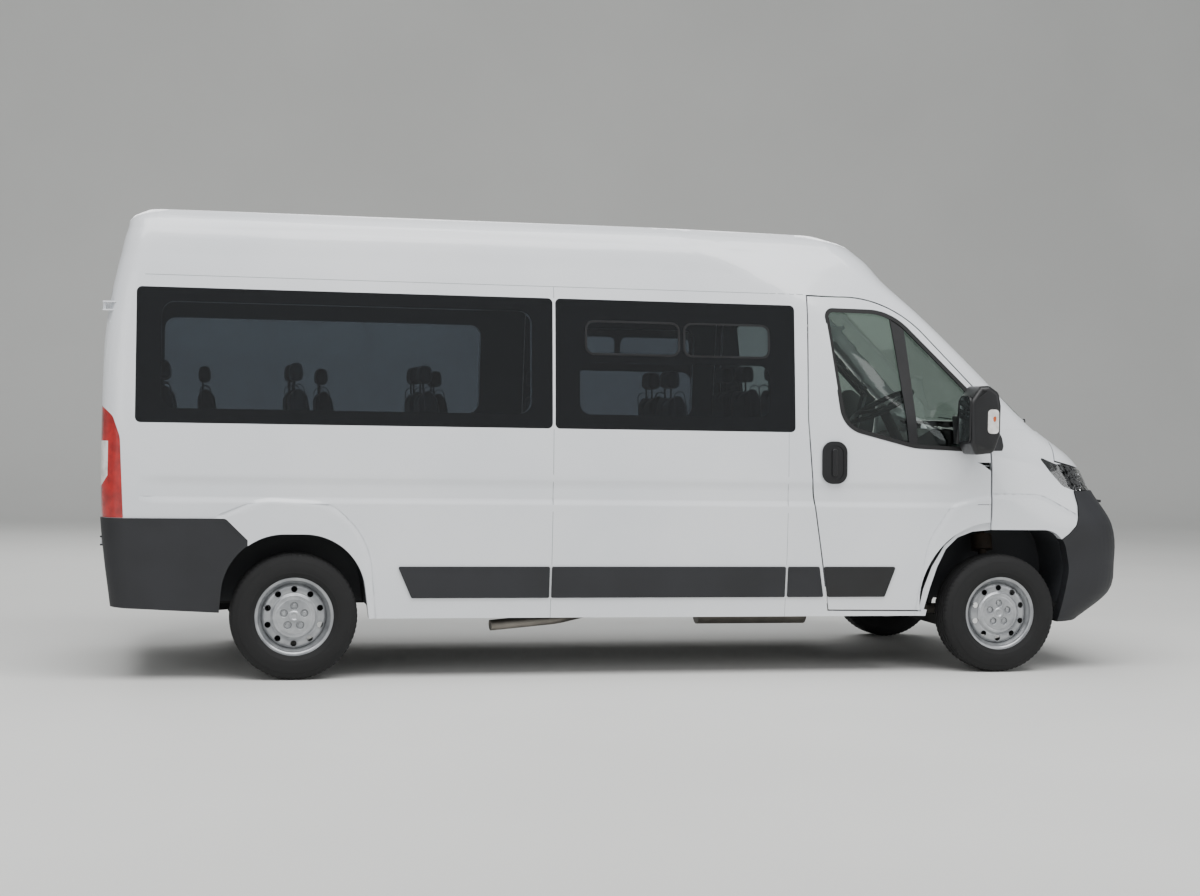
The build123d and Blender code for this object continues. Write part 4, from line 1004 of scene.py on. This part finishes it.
def capMesh():
    # one bowl with a recess for each bolt and a dished boss
    count, ring, radius = wheel["bolts"]
    outer, rings, sides = wheel["cap"]
    turns = [pi / 2 + 2 * pi * n / count for n in range(count)]
    angles = 2 * pi * np.arange(sides) / sides
    r, a = np.meshgrid(outer * (1 - np.arange(rings) / rings), angles, indexing="ij")
    rise = 9 * mm * smoothStep(outer - r, 0, 14 * mm) + 4 * mm * smoothStep(outer - r, 14 * mm, 90 * mm)
    near = np.full(r.shape, 1.0)
    for b in turns:
        near = np.minimum(near, np.hypot(r * np.cos(a) - ring * cos(b), r * np.sin(a) - ring * sin(b)))
    recess = 13 * mm * (1 - smoothStep(near, 17 * mm, 22 * mm))
    boss = 5 * mm * (1 - smoothStep(r, 25 * mm, 33 * mm)) - 6 * mm * (1 - smoothStep(r, 12 * mm, 20 * mm))
    groove = 1.8 * mm * (1 - smoothStep(abs(r - 97 * mm), 1.5 * mm, 4.5 * mm))
    u = 62 * mm + rise - recess + boss - groove
    vertices = [tuple(p) for p in np.stack([r * np.cos(a), u, r * np.sin(a)], -1).reshape(-1, 3)]
    vertices.append((0, float(u[-1, 0]), 0))
    faces = []
    for i in range(rings - 1):
        here, after = i * sides, (i + 1) * sides
        for k in range(sides):
            j = (k + 1) % sides
            faces.append((here + k, here + j, after + j, after + k))
    last = (rings - 1) * sides
    faces += [(last + k, last + (k + 1) % sides, rings * sides) for k in range(sides)]
    start = len(vertices)
    for edge, height in wheel["capEdge"]:
        vertices += [(edge * cos(t), height, edge * sin(t)) for t in angles]
    loops = [0, start, start + sides, start + 2 * sides]
    for one, other in zip(loops, loops[1:]):
        faces += [(one + k, other + k, other + (k + 1) % sides, one + (k + 1) % sides) for k in range(sides)]
    bolts = []
    for b in turns:
        bolt = turnedMesh([(54 * mm, radius), (66 * mm, radius), (68.5 * mm, radius - 2 * mm),
                           (69 * mm, radius - 5 * mm), (67.5 * mm, radius - 6 * mm), (67.5 * mm, 0.3 * mm)],
                          6, False)
        bolt.transform(Matrix.Translation((ring * cos(b), 0, ring * sin(b))))
        bolts.append(bolt)
    return joinMeshes("cap", [meshFrom("cap", vertices, faces, 55)] + bolts, 55)


def addWheels():
    parts = {"tyre": (tyreMesh(), "tyreRubber", "tyre"), "rim": (rimMesh(), "silverLacquer", "silver_paint"),
             "cap": (capMesh(), "capLacquer", "silver_paint")}
    for end in ("front", "rear"):
        for side, sign in (("right", -1), ("left", 1)):
            name = f"{end}_{side}"
            place = Matrix.Translation((wheel[end]["x"], sign * wheel[end]["y"], wheel["height"]))
            turned = place @ Matrix.Rotation(0 if sign > 0 else pi, 4, "Z")
            for part, (mesh, finish, slotName) in parts.items():
                copy = mesh.copy()
                copy.transform(turned)
                replaced = [f"{part}_{name}"] if part != "cap" else []
                newPiece(f"wheel_{part}_{name}", copy, finish, f"wheel_{name}", replaced)


addWheels()
print("stage: wheels made")

# side windows: bonded glass, printed black up to the clear part, with sliding vents
windows = {
    # low x, high x, body side, replaced node, clear parts (low x, high x, low z, high z, corner), all in mm
    "panes": {
        "rear_right": (-2825, -600, -1, "side_glass_right", [(-2695, -716, 1446, 2010, 70)]),
        "front_right": (-585, 790, -1, None, [(-447, 640, 1450, 1737, 60), (-407, 110, 1790, 1959, 38),
                                              (152, 632, 1790, 1959, 38)]),
        "rear_left": (-2825, -600, 1, "side_glass_left", [(-2695, -716, 1446, 2010, 70)]),
        "sliding_left": (-395, 806, 1, "sliding_door_glass", [(-300, 700, 1450, 1737, 60),
                                                              (-270, 175, 1790, 1959, 38),
                                                              (215, 680, 1790, 1959, 38)]),
    },
    "height": (1369, 2085),
    "corner": 28,
    "glass": 5 * mm,
    "print": 0.6 * mm,
    "printGap": 0.15 * mm,
    "ventFrame": (12, 2.2 * mm, 0.1 * mm),   # width in millimetres, how far it stands proud, gap to the glass
    "bead": (4, 0.5, 2.2 * mm, 4 * mm),      # past the edge and short of it in millimetres, depth, thickness
    "spacing": 0.07,
}


def boxOutline(x0, x1, z0, z1, corner, perCorner=8):
    return roundedOutline([(x0, z0), (x1, z0), (x1, z1), (x0, z1)], [corner] * 4, perCorner)


def addSideWindows():
    (z0, z1), rounding, spacing = windows["height"], windows["corner"], windows["spacing"]
    wide, proud, gap = windows["ventFrame"]
    printDepth = windows["glass"] + windows["printGap"]
    outside, inside, sunk, thick = windows["bead"]
    for name, (x0, x1, side, node, clear) in windows["panes"].items():
        outline = boxOutline(x0, x1, z0, z1, rounding)
        holes = [boxOutline(*hole) for hole in clear]
        pane = sideSheet("pane", side, outline, (), 0.0, windows["glass"], spacing)
        newPiece(f"window_{name}", pane, "privacyGlass", "root", [node] if node else [])
        border = sideSheet("border", side, outline, holes, printDepth, windows["print"], spacing)
        newPiece(f"window_print_{name}", border, "ceramicPrint", "root")
        frames = []
        for a, b, c, d, corner in clear[1:]:
            ring = boxOutline(a - wide, b + wide, c - wide, d + wide, corner + wide)
            opening = boxOutline(a, b, c, d, corner)
            frames.append(sideSheet("vent", side, ring, [opening], -proud, proud - gap, spacing))
        if frames:
            newPiece(f"window_vent_{name}", joinMeshes("vent", frames), "blackAbs", "root")
        ring = boxOutline(x0 - outside, x1 + outside, z0 - outside, z1 + outside, rounding + outside)
        hole = boxOutline(x0 + inside, x1 - inside, z0 + inside, z1 - inside, rounding)
        bead = sideSheet("bead", side, ring, [hole], sunk, thick, 0.2)
        newPiece(f"window_bead_{name}", bead, "sealRubber", "root")


addSideWindows()
print("stage: side windows made")

# front doors: window rubber, handle, and the black corner in front of the window
doorTrim = {
    # corners of the opening and their radii, in millimetres
    "window": ([(972, 2074), (1400, 2075), (1880, 1615), (1838, 1278), (1500, 1292), (1075, 1398)],
               [45, 350, 25, 25, 400, 160]),
    "rubber": (5, 19, 2.5 * mm, 13.2 * mm),      # grown by, seen width, proud, thickness
    # in millimetres: low x, high x, low z, high z, corner radius; points round a corner; depth, thickness
    "handleRing": ((945, 1094, 1081, 1321, 62, 12), -11.5 * mm, 5 * mm),
    "handleHole": (966, 1073, 1103, 1299, 48, 12),
    "handleGrip": ((1003, 1036, 1122, 1280, 16, 8), -17 * mm, 14 * mm),
    "gripRound": 5 * mm,
    "triangle": ([(1972, 1279), (2049, 1280), (2064, 1306), (2063, 1355), (2039, 1407), (1997, 1455)],
                 [6, 10, 14, 20, 20, 8]),
    "triangleDepth": (-1.2 * mm, 3 * mm),
}


def grownOutline(points, radii, grow, perCorner=10):
    # outline moved out by grow, from corner points that run round it either way
    line = roundedOutline(points, radii, perCorner) / mm
    ahead, behind = np.roll(line, -1, 0), np.roll(line, 1, 0)
    along = ahead - behind
    along /= np.maximum(np.hypot(*along.T)[:, None], 1e-9)
    area = (line[:, 0] * np.roll(line[:, 1], -1) - np.roll(line[:, 0], -1) * line[:, 1]).sum()
    normal = np.stack([along[:, 1], -along[:, 0]], 1) * (1 if area > 0 else -1)
    return (line + normal * grow) * mm


def addDoorTrims():
    grow, width, proud, thick = doorTrim["rubber"]
    points, radii = doorTrim["window"]
    (ringBox, *ringDepth), (gripBox, *gripDepth) = doorTrim["handleRing"], doorTrim["handleGrip"]
    for side, sign in (("right", -1), ("left", 1)):
        door = f"front_door_{side}"
        outline, opening = grownOutline(points, radii, grow), grownOutline(points, radii, -width)
        ring = sideSheet("rubber", sign, outline, [opening], -proud, thick + proud, 0.2)
        newPiece(f"door_window_rubber_{side}", ring, "sealRubber", door)
        hole = boxOutline(*doorTrim["handleHole"])
        bezel = sideSheet("bezel", sign, boxOutline(*ringBox), [hole], *ringDepth, 0.2)
        grip = sideSheet("grip", sign, boxOutline(*gripBox), (), *gripDepth, 0.012)
        work = openMesh(grip)
        edges = [e for e in work.edges if not e.smooth]
        bmesh.ops.bevel(work, geom=edges, offset=doorTrim["gripRound"], segments=3, affect="EDGES",
                        profile=0.5)
        handle = joinMeshes("handle", [bezel, closeMesh(work, "grip")], 40)
        newPiece(f"door_handle_{side}", handle, "blackAbs", door)
        outline = roundedOutline(*doorTrim["triangle"])
        corner = sideSheet("corner", sign, outline, (), *doorTrim["triangleDepth"], 0.03)
        newPiece(f"mirror_corner_{side}", corner, "blackAbs", "root")


addDoorTrims()

# sealed laps of the side panels, each drawn as a grey strip of painted shade; in millimetres: width, and each
# line from (x, z) to (x, z)
seam = {
    "wide": 2.6,
    "narrow": 0.7,      # share of the width, for the lines of the right side alone
    "both": [(-2820, 2150, 940, 2150), (-593, 2087, -593, 2148), (-593, 622, -593, 1366),
             (-593, 330, -593, 434)],
    "right": [(752, 622, 752, 1366), (752, 330, 752, 434)],
}


def strip(side, x0, z0, x1, z1, wide, depth=-0.1 * mm, thick=1.0 * mm):
    # narrow band on the body's side between two points in millimetres
    along = np.array([x1 - x0, z1 - z0], float)
    across = np.array([-along[1], along[0]]) / np.hypot(*along) * wide / 2
    start, end = np.array([x0, z0]), np.array([x1, z1])
    corners = [start - across, end - across, end + across, start + across]
    line = []
    for a, b in zip(corners, corners[1:] + corners[:1]):
        count = max(2, int(np.hypot(*(b - a)) / 40))
        line += [a + (b - a) * t for t in np.linspace(0, 1, count, endpoint=False)]
    return sideSheet("strip", side, np.array(line) * mm, (), depth, thick, 0.5, True)


def addSeams():
    for side, sign in (("right", -1), ("left", 1)):
        seams = [strip(sign, *line, seam["wide"]) for line in seam["both"]]
        if side == "right":
            seams += [strip(sign, *line, seam["wide"] * seam["narrow"]) for line in seam["right"]]
        # the grey strips are painted shade laid along the laps
        newPiece(f"body_lap_shade_{side}", joinMeshes("seams", seams), "jointSealer", "root")


addSeams()
print("stage: doors trimmed")


def noseOf(y, z, depth=0.0):
    # how far forward the smooth body reaches at (y, z)
    y, z = np.atleast_1d(y).astype(float), np.atleast_1d(z).astype(float)
    _, smooth = outlinesAt(z)
    sunk = smooth - outlineNormals(smooth) * np.broadcast_to(depth, z.shape)[:, None, None]
    last = sum(bodyShape["steps"][6:])
    return np.array([np.interp(-abs(b), -line[-last:, 1], line[-last:, 0]) for b, line in zip(y, sunk)])


def noseSheet(name, outline, holes=(), depth=0.0, thick=0.003, spacing=0.06):
    # sheet laid on the body's front; the outline is (y, z) in metres
    found, triangles = flatPattern(outline, holes, spacing)
    y, z = found[:, 0], found[:, 1]
    front = np.stack([noseOf(y, z, depth), y, z], 1)
    back = np.stack([noseOf(y, z, depth + thick), y, z], 1)
    return solidSheet(name, front, back, triangles)


# lamps: red tail lamps with a clear reversing light, headlamps with bowls in a dark tray behind a clear cover
lamps = {
    "reverse": {"front": -2.961, "top": 1.269, "low": (-2.960, 1.090), "lowTail": (-3.001, 1.022)},
    "lensThick": 3 * mm,
    "trayDepth": 46 * mm,
    "trayStart": 4.5 * mm,
    "skinGap": 12 * mm,
    "bowls": [((2.470, 0.700, 1.105), 46 * mm, 30 * mm), ((2.400, 0.815, 1.165), 34 * mm, 24 * mm)],
    "bowlWall": (1.5 * mm, 1.2 * mm), "bowlLip": 2 * mm,
    "bowlAim": (0.86, 0.42, 0.10),
}


def addTailLamps():
    zone = lamps["reverse"]
    work = openMesh(nodes["tail_lamps"].data, panelCuts["weld"])
    cutPanel(work, "tail_lamps", False)
    slope = ((zone["low"][0] - zone["lowTail"][0]), (zone["low"][1] - zone["lowTail"][1]))
    for point, normal in (((zone["front"], 0, 0), (1, 0, 0)), ((0, 0, zone["top"]), (0, 0, 1)),
                          ((zone["low"][0], 0, zone["low"][1]), (-slope[1], 0, slope[0]))):
        bmesh.ops.bisect_plane(work, geom=work.verts[:] + work.edges[:] + work.faces[:], plane_co=point,
                               plane_no=normal, dist=1e-5)
    for face in work.faces:
        middle = face.calc_center_median()
        above = (middle.z - zone["low"][1]) * slope[0] - (middle.x - zone["low"][0]) * slope[1] > 0
        face.material_index = int(middle.x < zone["front"] and middle.z < zone["top"] and above)
    movePoints(work, moveToSmooth(np.array([v.co for v in work.verts])))
    lens = closeMesh(work, "tailLens")
    shadeByAngle(lens, 35)
    newPiece("tail_lens", lens, ["redAcrylic", "clearAcrylic"], "root", ["tail_lamps"])


def lampSkin():
    # the outer face alone of both headlamps
    work = openMesh(nodes["headlamps"].data, panelCuts["weld"])
    cutPanel(work, "headlamps", False)
    work.normal_update()
    inner = []
    for face in work.faces:
        middle = face.calc_center_median()
        outward = Vector((0.7, 0.7 if middle.y > 0 else -0.7, 0.15))
        flat, _ = outlinesAt(np.array([middle.z]))
        gap = np.hypot(flat[0, :, 0] - middle.x, flat[0, :, 1] - abs(middle.y)).min()
        if face.normal.dot(outward) < 0.15 or gap > lamps["skinGap"]:
            inner.append(face)
    bmesh.ops.delete(work, geom=inner, context="FACES")
    movePoints(work, moveToSmooth(np.array([v.co for v in work.verts])))
    work.normal_update()
    return closeMesh(work, "lampSkin")


def lampLayer(skin, near, far, capped):
    # closed shell, or an open tray, between two depths below the lamp's face
    base = openMesh(skin)
    base.normal_update()
    normals = [v.normal.copy() for v in base.verts]
    places = [v.co.copy() for v in base.verts]
    count = len(places)
    rim = [(e.verts[0].index, e.verts[1].index) for e in base.edges if len(e.link_faces) == 1]
    loops = [tuple(v.index for v in f.verts) for f in base.faces]
    base.free()
    vertices = [p - n * depth for depth in (near, far) for p, n in zip(places, normals)]
    faces = [tuple(i + count for i in loop[::-1]) for loop in loops]
    faces += loops if capped else []
    faces += [(b, a, a + count, b + count) for a, b in rim]
    return meshFrom("lamp", vertices, faces, 40)


def lampBowl(place, radius, depth, sign):
    # a parabola turned round its bulb
    wall, grow = lamps["bowlWall"]
    inside = [(-depth * (1 - t * t), max(radius * t, 0.4 * mm)) for t in np.linspace(0, 1, 14)]
    outside = [(u - wall, r + grow) for u, r in inside[::-1]]
    bowl = turnedMesh(inside + [(0.002, radius + lamps["bowlLip"])] + outside, 48, False, 50)
    bulb = turnedMesh([(-depth, 0), (-depth, 5 * mm), (-depth * 0.45, 6 * mm), (-depth * 0.3, 4 * mm),
                       (-depth * 0.28, 0)], 20, False, 50)
    both = joinMeshes("bowl", [bowl, bulb], 50)
    x, y, z = lamps["bowlAim"]
    turn = Vector((0, 1, 0)).rotation_difference(Vector((x, sign * y, z)).normalized())
    both.transform(Matrix.Translation((place[0], sign * place[1], place[2])) @ turn.to_matrix().to_4x4())
    return both


def addHeadlamps():
    skin = lampSkin()
    cover = lampLayer(skin, 0.0, lamps["lensThick"], True)
    newPiece("headlamp_cover", cover, "clearPolycarbonate", "root", ["headlamps"])
    tray = lampLayer(skin, lamps["trayStart"], lamps["trayDepth"], False)
    newPiece("headlamp_tray", tray, "blackAbs", "root")
    bowls = [lampBowl(*bowl, sign) for bowl in lamps["bowls"] for sign in (-1, 1)]
    newPiece("headlamp_bowls", joinMeshes("bowls", bowls, 50), "reflectorChrome", "root")


addTailLamps()
addHeadlamps()
print("stage: lamps made")

# mirrors: two-piece housing with a clear indicator in its edge and the glass behind
mirror = {
    "shrink": 3.5 * mm,
    "armEnd": 1.15,
    "round": 6 * mm,
    "indicator": (1842, 1908, 1380, 1516, 22),
    # finish, share of the indicator's size, shift, inner and outer half width
    "lenses": {"indicator": ("clearAcrylic", (1, 1), (0, 0), 1.2495, 1.2537),
               "bulb": ("amberGlass", (0.34, 0.28), (0.004, 0.012), 1.2530, 1.25385)},
    "glass": ([(-1238, 1330), (-1080, 1320), (-1076, 1560), (-1110, 1590), (-1225, 1590), (-1240, 1560)],
              [26, 26, 30, 30, 30, 26]),
    "glassAt": 1.741,
    "glassShare": 0.94,
}


def mirrorHousing(side, sign):
    work = openMesh(nodes[f"door_mirror_{side}"].data, panelCuts["weld"])
    for vertex in work.verts:
        if abs(vertex.co.y) > mirror["armEnd"]:
            vertex.co.y -= sign * mirror["shrink"]
    edges = [e for e in work.edges if len(e.link_faces) == 2 and e.calc_face_angle(0) > radians(50)]
    bmesh.ops.bevel(work, geom=edges, offset=mirror["round"], segments=3, affect="EDGES", profile=0.5)
    housing = closeMesh(work, "mirror")
    shadeByAngle(housing, 38)
    return housing


def mirrorLens(name, sign, share, shift, near, far):
    # a swollen lens let into the housing's end
    points, triangles = flatPattern(boxOutline(*mirror["indicator"]), (), 0.012)
    if share != (1, 1):
        middle = points.mean(0)
        points = middle + (points - middle) * share + shift
    swell = 1 - np.clip(np.hypot(*((points - points.mean(0)) / (np.ptp(points, 0) / 2)).T), 0, 1) ** 4
    x, z = points.T
    front = np.stack([x, sign * (near + (far - near) * (0.55 + 0.45 * swell)), z], 1)
    back = np.stack([x, np.full(len(points), sign * (near - 0.002)), z], 1)
    return solidSheet(name, front, back, triangles)


def mirrorPane(name, sign, outline, holes, near, far):
    found, triangles = flatPattern(outline, holes, 0.05)
    x = np.full(len(found), mirror["glassAt"] + near - 2.5 * mm)
    front = np.stack([x, -sign * found[:, 0], found[:, 1]], 1)
    return solidSheet(name, front, front + (far + 6 * mm, 0, 0), triangles)


def addMirrors():
    edge = roundedOutline(*mirror["glass"])
    inner = edge.mean(0) + (edge - edge.mean(0)) * mirror["glassShare"]
    for side, sign in (("right", -1), ("left", 1)):
        door = f"front_door_{side}"
        newPiece(f"mirror_housing_{side}", mirrorHousing(side, sign), "blackAbs", door,
                 [f"door_mirror_{side}"])
        for name, (finish, *shape) in mirror["lenses"].items():
            newPiece(f"mirror_{name}_{side}", mirrorLens(name, sign, *shape), finish, door)
        glass = mirrorPane("glass", sign, inner, (), 0.0, 2.5 * mm)
        newPiece(f"mirror_glass_{side}", glass, "mirrorGlass", door)
        bezel = mirrorPane("bezel", sign, edge, (inner,), -1.5 * mm, 4 * mm)
        newPiece(f"mirror_bezel_{side}", bezel, "blackAbs", door)


addMirrors()
print("stage: mirrors made")

# seats: one seat's cushion, back and head restraint are blown up as cloth and shared by all seats
seat = {
    "width": 0.440,
    "voxel": 0.0245,
    "pressure": 4.0,
    "cap": 24 * mm,
    "frames": 20,
    "inset": 9 * mm,
    "cornerRound": 34,
    # outlines in the seat's own frame: x from the back's foot, z from the cushion's top, in mm
    "cushion": [(20, -120), (480, -120), (500, 0), (54, -20)],
    "back": [(30, -90), (58, -8), (-40, 560), (-105, 560), (-62, -90)],
    "rest": [(-95, 562), (-48, 562), (-20, 585), (-40, 690), (-110, 690), (-122, 585)],
    "restHalf": 0.130,
    "piping": (4 * mm, -4, 2.6 * mm),      # in from the side, grown by in millimetres, radius
    # path (x, z), places across, radius
    "posts": ([(-0.082, 0.52), (-0.084, 0.60)], (-0.07, 0.07), 5.5 * mm),
    # low and high (x, z), in from the side, its faces in and out from there, bevel
    "shield": ((0.03, -0.135), (0.30, -0.075), 6 * mm, (-9 * mm, 5 * mm), 5 * mm),
    "cushionZ": 1.030, "cabRise": 0.060,
    "rightRows": [-2.610 + 0.704 * n for n in range(5)], "leftRows": [-2.380 + 0.704 * n for n in range(3)],
    "acrossRight": (-0.700, -0.245), "acrossLeft": (0.650,),
    "cab": [(0.900, -0.470), (0.900, 0.160), (0.900, 0.620)],
}


def prismMesh(points, half, inset):
    # the outline drawn out across the seat, smaller all round by the inset
    outline = grownOutline(points, [seat["cornerRound"]] * len(points), -inset / mm, 4)
    work = bmesh.new()
    rings = [[work.verts.new((x, y, z)) for x, z in outline] for y in (-half + inset, half - inset)]
    work.faces.new(rings[0])
    work.faces.new(rings[1][::-1])
    for n in range(len(outline)):
        m = (n + 1) % len(outline)
        work.faces.new((rings[0][n], rings[0][m], rings[1][m], rings[1][n]))
    bmesh.ops.recalc_face_normals(work, faces=work.faces)
    return closeMesh(work, "prism")


def blowUp(mesh):
    # even small faces, then pressure pushes the cover out, no point further than the cap
    work = bpy.data.objects.new("soft", mesh)
    scene.collection.objects.link(work)
    remesh = work.modifiers.new("remesh", "REMESH")
    remesh.mode, remesh.voxel_size = "VOXEL", seat["voxel"]
    work.data = evaluated(work)
    work.modifiers.clear()
    rest = np.array([v.co for v in work.data.vertices])
    cloth = work.modifiers.new("cloth", "CLOTH")
    cloth.settings.use_pressure = True
    cloth.settings.uniform_pressure_force = seat["pressure"]
    cloth.settings.effector_weights.gravity = 0
    cloth.settings.quality = 5
    cloth.point_cache.frame_start, cloth.point_cache.frame_end = 1, seat["frames"]
    for number in range(1, seat["frames"] + 1):
        scene.frame_set(number)
    blown = evaluated(work)
    work.modifiers.clear()
    moved = np.array([v.co for v in blown.vertices]) - rest
    length = np.linalg.norm(moved, axis=1, keepdims=True)
    moved *= np.minimum(1, seat["cap"] / np.maximum(length, 1e-9))
    for vertex, place in zip(blown.vertices, rest + moved):
        vertex.co = place
    work.data = blown
    scene.frame_set(1)
    smooth = work.modifiers.new("smooth", "SUBSURF")
    smooth.levels = 1
    result = evaluated(work)
    bpy.data.objects.remove(work)
    return result


def seamRing(part, side, half):
    # a cord of piping round one side of a cushion
    inward, grow, radius = seat["piping"]
    outline = grownOutline(seat[part], [seat["cornerRound"]] * len(seat[part]), grow, 5)
    return tubeMesh([(x, side * (half - inward), z) for x, z in outline], radius, 6, True)


def seatCover():
    half = seat["width"] / 2
    soft = [blowUp(prismMesh(seat[part], wide, seat["inset"]))
            for part, wide in (("cushion", half), ("back", half), ("rest", seat["restHalf"]))]
    piping = [seamRing(part, side, half) for part in ("cushion", "back") for side in (-1, 1)]
    return joinMeshes("seatCover", soft + piping, 60)


def seatFittings():
    # the head restraint's posts and a shield over each hinge
    path, across, radius = seat["posts"]
    posts = [tubeMesh([(x, y, z) for x, z in path], radius, 10) for y in across]
    (x0, z0), (x1, z1), inward, (near, far), bevel = seat["shield"]
    half = seat["width"] / 2 - inward
    shields = [blockMesh((x0, side * half + near, z0), (x1, side * half + far, z1), bevel)
               for side in (-1, 1)]
    return joinMeshes("seatMetal", posts + shields, 40)


def addSeats():
    cover, metal = seatCover(), seatFittings()
    places = [(x, y, 0) for x in seat["rightRows"] for y in seat["acrossRight"]]
    places += [(x, y, 0) for x in seat["leftRows"] for y in seat["acrossLeft"]]
    count = len(places)
    places += [(x, y, seat["cabRise"]) for x, y in seat["cab"]]
    for name, mesh, finish in (("cover", cover, "wovenPolyester"), ("fittings", metal, "blackAbs")):
        mesh.materials.clear()
        mesh.materials.append(finishes[finish])
        for n, (x, y, rise) in enumerate(places):
            piece = bpy.data.objects.new(f"seat_{name}_{n + 1}", mesh)
            piece.location = (x, y, seat["cushionZ"] + rise)
            scene.collection.objects.link(piece)
            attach(piece, "root")
            if name == "cover":
                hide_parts("passenger_seats" if n < count else "cab_seats")


addSeats()
print("stage: seats made")

# inner lip of the front arches, wipers, plates, rear handle and high brake light
small = {
    "archLip": [(1558, 355), (1580, 480), (1625, 610), (1700, 735), (1790, 815), (1880, 858), (1975, 882),
                (1975, 824), (1865, 814), (1776, 780), (1706, 712), (1658, 611), (1621, 492), (1591, 373),
                (1584, 330)],
    "lipDepth": (14.5 * mm, 3 * mm),
    # path (y, z) of the right wiper, and how far each one is shifted from it
    "wiper": [(-0.62, 1.452), (-0.45, 1.450), (-0.25, 1.456), (-0.04, 1.470)],
    "wiperShifts": (0.0, 0.66),
    "wiperUp": 8 * mm, "armRadius": 4.5 * mm, "bladeRadius": 7 * mm,
    "pivot": [(0, 0), (0, 14 * mm), (16 * mm, 12 * mm), (22 * mm, 6 * mm), (22 * mm, 0)],
    # in millimetres: plate's width and height, border of its frame, height of its middle
    "plate": (520, 111), "plateBorder": 5, "plateFront": 505, "plateRear": 500,
    # in millimetres: low y, high y, low z, high z, corner radius; then depth and thickness
    "handlePad": ((-125, -35, 880, 985, 22), -1.5 * mm, 3 * mm),
    "handleGrip": ((-107, -53, 892, 973, 12), -3.6 * mm, 4 * mm),
    "brakeLight": ((-200, 200, 2288, 2310, 9), -6 * mm, 12 * mm),
}


def tailSheet(name, outline, holes=(), depth=0.0, thick=0.003, spacing=0.08):
    # sheet laid on the body's back; the outline is (y, z) in metres
    found, triangles = flatPattern(outline, holes, spacing)
    y, z = found[:, 0], found[:, 1]
    _, smooth = outlinesAt(z)
    front = np.stack([smooth[:, 0, 0] + depth, y, z], 1)
    return solidSheet(name, front, front + (thick, 0, 0), triangles)


def addArchLips():
    near, thick = small["lipDepth"]
    for side, sign in (("right", -1), ("left", 1)):
        lip = sideSheet("lip", sign, np.array(small["archLip"], float) * mm, (), near, thick, 0.03)
        newPiece(f"arch_lip_{side}", lip, "whiteBakedPaint", "root")


def addWipers():
    arms = []
    for shift in small["wiperShifts"]:
        path = [(noseOf(y + shift, z)[0] + small["wiperUp"], y + shift, z + 0.004) for y, z in small["wiper"]]
        fine = [tuple(np.array(a) + (np.array(b) - np.array(a)) * t)
                for a, b in zip(path, path[1:]) for t in (0, 0.5)]
        arms.append(tubeMesh(fine + [path[-1]], small["armRadius"], 8))
        arms.append(tubeMesh([(x + 0.016, y, z + 0.006) for x, y, z in fine[:5]], small["bladeRadius"], 8))
        x, y, z = path[0]
        pivot = turnedMesh(small["pivot"], 24, False)
        pivot.transform(Matrix.Translation((x + 0.004, y, z - 0.004)) @ Matrix.Rotation(-pi / 2.6, 4, "Z"))
        arms.append(pivot)
    newPiece("wipers", joinMeshes("wipers", arms), "blackAbs", "root")


def addPlates():
    wide, high = (v / 2 for v in small["plate"])
    edge = small["plateBorder"]
    for name, z, make in (("front", small["plateFront"], noseSheet), ("rear", small["plateRear"], tailSheet)):
        outline = boxOutline(-wide, wide, z - high, z + high, 8)
        inner = boxOutline(-wide + edge, wide - edge, z - high + edge, z + high - edge, edge)
        plate = make("plate", outline, (), -8 * mm, 6 * mm)
        newPiece(f"plate_{name}", plate, "platePolyester", "root")
        border = make("frame", outline, [inner], -9.5 * mm, 8 * mm)
        newPiece(f"plate_frame_{name}", border, "blackAbs", "root")


def addTailParts():
    pad, grip, light = (tailSheet(name, boxOutline(*small[name][0]), (), *small[name][1:])
                        for name in ("handlePad", "handleGrip", "brakeLight"))
    newPiece("rear_handle", joinMeshes("handle", [pad, grip]), "blackAbs", "rear_door_right")
    newPiece("high_brake_light", light, "redAcrylic", "root")


addArchLips()
addWipers()
addPlates()
addTailParts()
print("stage: small parts made")

print("stage: finished")
